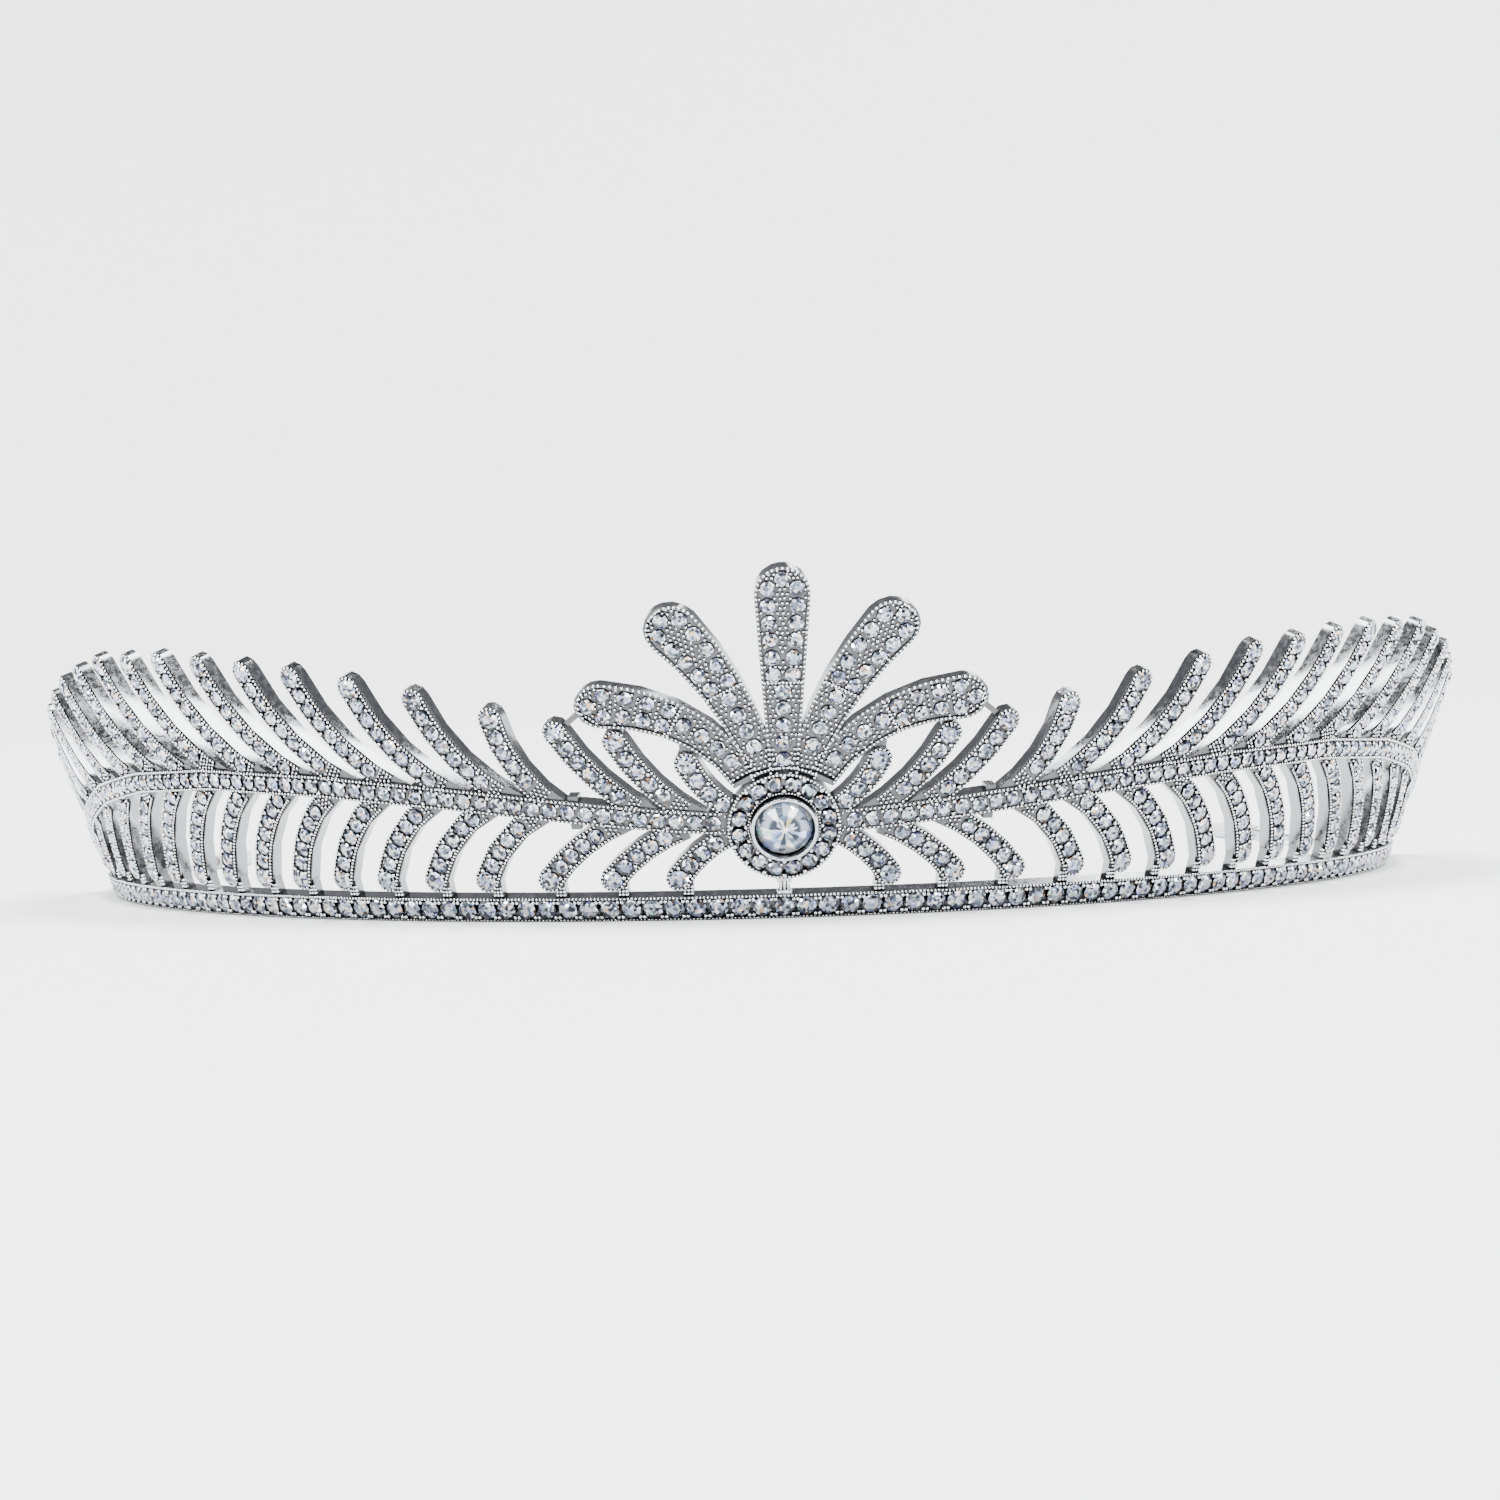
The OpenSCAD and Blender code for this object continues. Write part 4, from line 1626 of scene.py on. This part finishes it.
@dataclass
class LoopCovers:
    """The soft plastic dipped over the two wire loops."""

    finishes: Finishes
    frame: dict
    rounding: float = 0.32
    round_steps: int = 3
    round_from: float = math.radians(50)
    flat_below: float = math.radians(2)

    def build(self) -> None:
        """Rounds both covers."""
        for side in Side:
            node = f"{side.word}_loop_cover"
            bm = copy_node(self.frame, node)
            bmesh.ops.dissolve_limit(bm, angle_limit=self.flat_below, verts=bm.verts[:],
                                     edges=bm.edges[:])
            piece = add_piece(f"{side.word}_coating", bm, self.finishes.coating,
                              "loop_plastic", node)
            soft = piece.modifiers.new("rounding", "BEVEL")
            soft.width = self.rounding * MM
            soft.segments = self.round_steps
            soft.limit_method = "ANGLE"
            soft.angle_limit = self.round_from


@dataclass(frozen=True)
class SoftBox:
    """A soft box: place, size, power in watts, tone and what it faces."""

    name: str
    place: Triple
    size: Pair
    power: float
    tone: Triple = (1.0, 1.0, 1.0)
    target: Triple | None = None


@dataclass
class Studio:
    """The pale floor, the soft lights and the camera."""

    boxes: tuple[SoftBox, ...] = (
        SoftBox("top_left", (-0.78, 0.1, 1.9), (1.0, 1.8), 110, target=(-0.78, 0.1, 0.0)),
        SoftBox("top_right", (0.78, 0.1, 1.9), (1.0, 1.8), 110, target=(0.78, 0.1, 0.0)),
        SoftBox("left_box", (-1.3, -0.9, 0.75), (0.22, 0.9), 16),
        SoftBox("right_box", (1.35, -0.8, 0.8), (0.2, 0.8), 13, (0.97, 0.98, 1.0)),
        SoftBox("back_box", (0.5, 1.5, 0.95), (0.12, 0.7), 3),
        SoftBox("spark_left", (-0.45, -1.0, 0.3), (0.07, 0.07), 2.4),
        SoftBox("spark_right", (0.55, -0.95, 0.55), (0.07, 0.07), 2.4),
        SoftBox("spark_low", (0.12, -1.1, 0.1), (0.06, 0.06), 1.6))
    walls: Stops = (
        (0.0, (0.50, 0.51, 0.53)),
        (0.45, (0.36, 0.37, 0.40)),
        (0.72, (0.22, 0.23, 0.25)),
        (0.84, (0.05, 0.05, 0.06)),
        (1.0, (0.03, 0.03, 0.035)))
    radius: float = 0.8
    curve: float = 1.3
    sweep: float = math.radians(50)
    sides: int = 96
    steps: int = 12
    azimuth: float = math.radians(-2.45)
    elevation: float = math.radians(2.0)
    roll: float = math.radians(-1.5)
    distance: float = 0.516
    lens: float = 120.0
    film: float = 36.0
    clip: Pair = (0.01, 20.0)
    aim: Triple = (-0.0014, 0.035, 0.0150)

    def lay_floor(self) -> None:
        """Makes a round floor that curves up into a wall."""
        bm = bmesh.new()
        bmesh.ops.create_circle(bm, cap_ends=True, segments=self.sides, radius=self.radius)
        edges = [e for e in bm.edges if e.is_boundary]
        for i in range(self.steps):
            grown = bmesh.ops.extrude_edge_only(bm, edges=edges)["geom"]
            edges = [e for e in only(BMEdge, grown) if e.is_boundary]
            a = self.sweep * (i + 1) / self.steps
            r = self.radius + self.curve * math.sin(a)
            for vert in only(BMVert, grown):
                flat = Vector((vert.co.x, vert.co.y, 0)).normalized() * r
                vert.co = (flat.x, flat.y, self.curve * (1 - math.cos(a)))
        smooth_faces(bm)
        bmesh.ops.recalc_face_normals(bm, faces=bm.faces[:])
        mesh = close_shape(bm, "studio_floor")
        mesh.materials.append(PaleStudio("pale_floor").make())
        floor = bpy.data.objects.new("studio_floor", mesh)
        bpy.context.scene.collection.objects.link(floor)

    def hang_light(self, box: SoftBox) -> None:
        """Hangs a soft box.

        Args:
            box: The soft box.
        """
        light = bpy.data.lights.new(box.name, "AREA")
        light.shape = "RECTANGLE"
        light.size, light.size_y = box.size
        light.energy = box.power
        light.color = box.tone
        lamp = bpy.data.objects.new(box.name, light)
        lamp.location = box.place
        aim = Vector(box.target or self.aim) - Vector(box.place)
        lamp.rotation_euler = aim.to_track_quat("-Z", "Y").to_euler()
        bpy.context.scene.collection.objects.link(lamp)

    def light_room(self) -> None:
        """Hangs the lights and sets the room's own light."""
        for box in self.boxes:
            self.hang_light(box)
        bench = NodeBench(bpy.data.worlds.new("room"), "Background")
        way = bench.add("TexCoord").outputs["Generated"]
        rise = bench.add("SeparateXYZ", {"Vector": way}).outputs["Z"]
        bpy.context.scene.world = bench.finish({"Color": bench.ramp(rise, self.walls)})

    def place_camera(self) -> None:
        """Puts the camera at the photograph's side, just above the floor."""
        az, el = self.azimuth, self.elevation
        back = Vector((math.sin(az) * math.cos(el), -math.cos(az) * math.cos(el), math.sin(el)))
        data = bpy.data.cameras.new("camera")
        data.lens = self.lens
        data.sensor_width = self.film
        data.clip_start, data.clip_end = self.clip
        camera = bpy.data.objects.new("camera", data)
        camera.location = Vector(self.aim) + back * self.distance
        look = (-back).to_track_quat("-Z", "Y").to_matrix()
        camera.rotation_euler = (look @ Matrix.Rotation(self.roll, 3, "Z")).to_euler()
        bpy.context.scene.collection.objects.link(camera)
        bpy.context.scene.camera = camera

    def build(self) -> None:
        """Builds the whole studio."""
        self.lay_floor()
        self.light_room()
        self.place_camera()


def main() -> None:
    """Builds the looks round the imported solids."""
    logging.basicConfig(level=logging.INFO, format="%(name)s: %(message)s")
    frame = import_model()
    Studio().build()
    finishes = Finishes()
    shop = Workshop(finishes)
    for assembly in (Metalwork(finishes, frame), LoopCovers(finishes, frame), Halo(shop),
                     Fan(shop), BaseBar(shop), Spine(shop), LeafSprays(shop), Pegs(shop),
                     BandFittings(finishes)):
        assembly.build()
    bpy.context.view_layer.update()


if __name__ == "__main__":
    main()
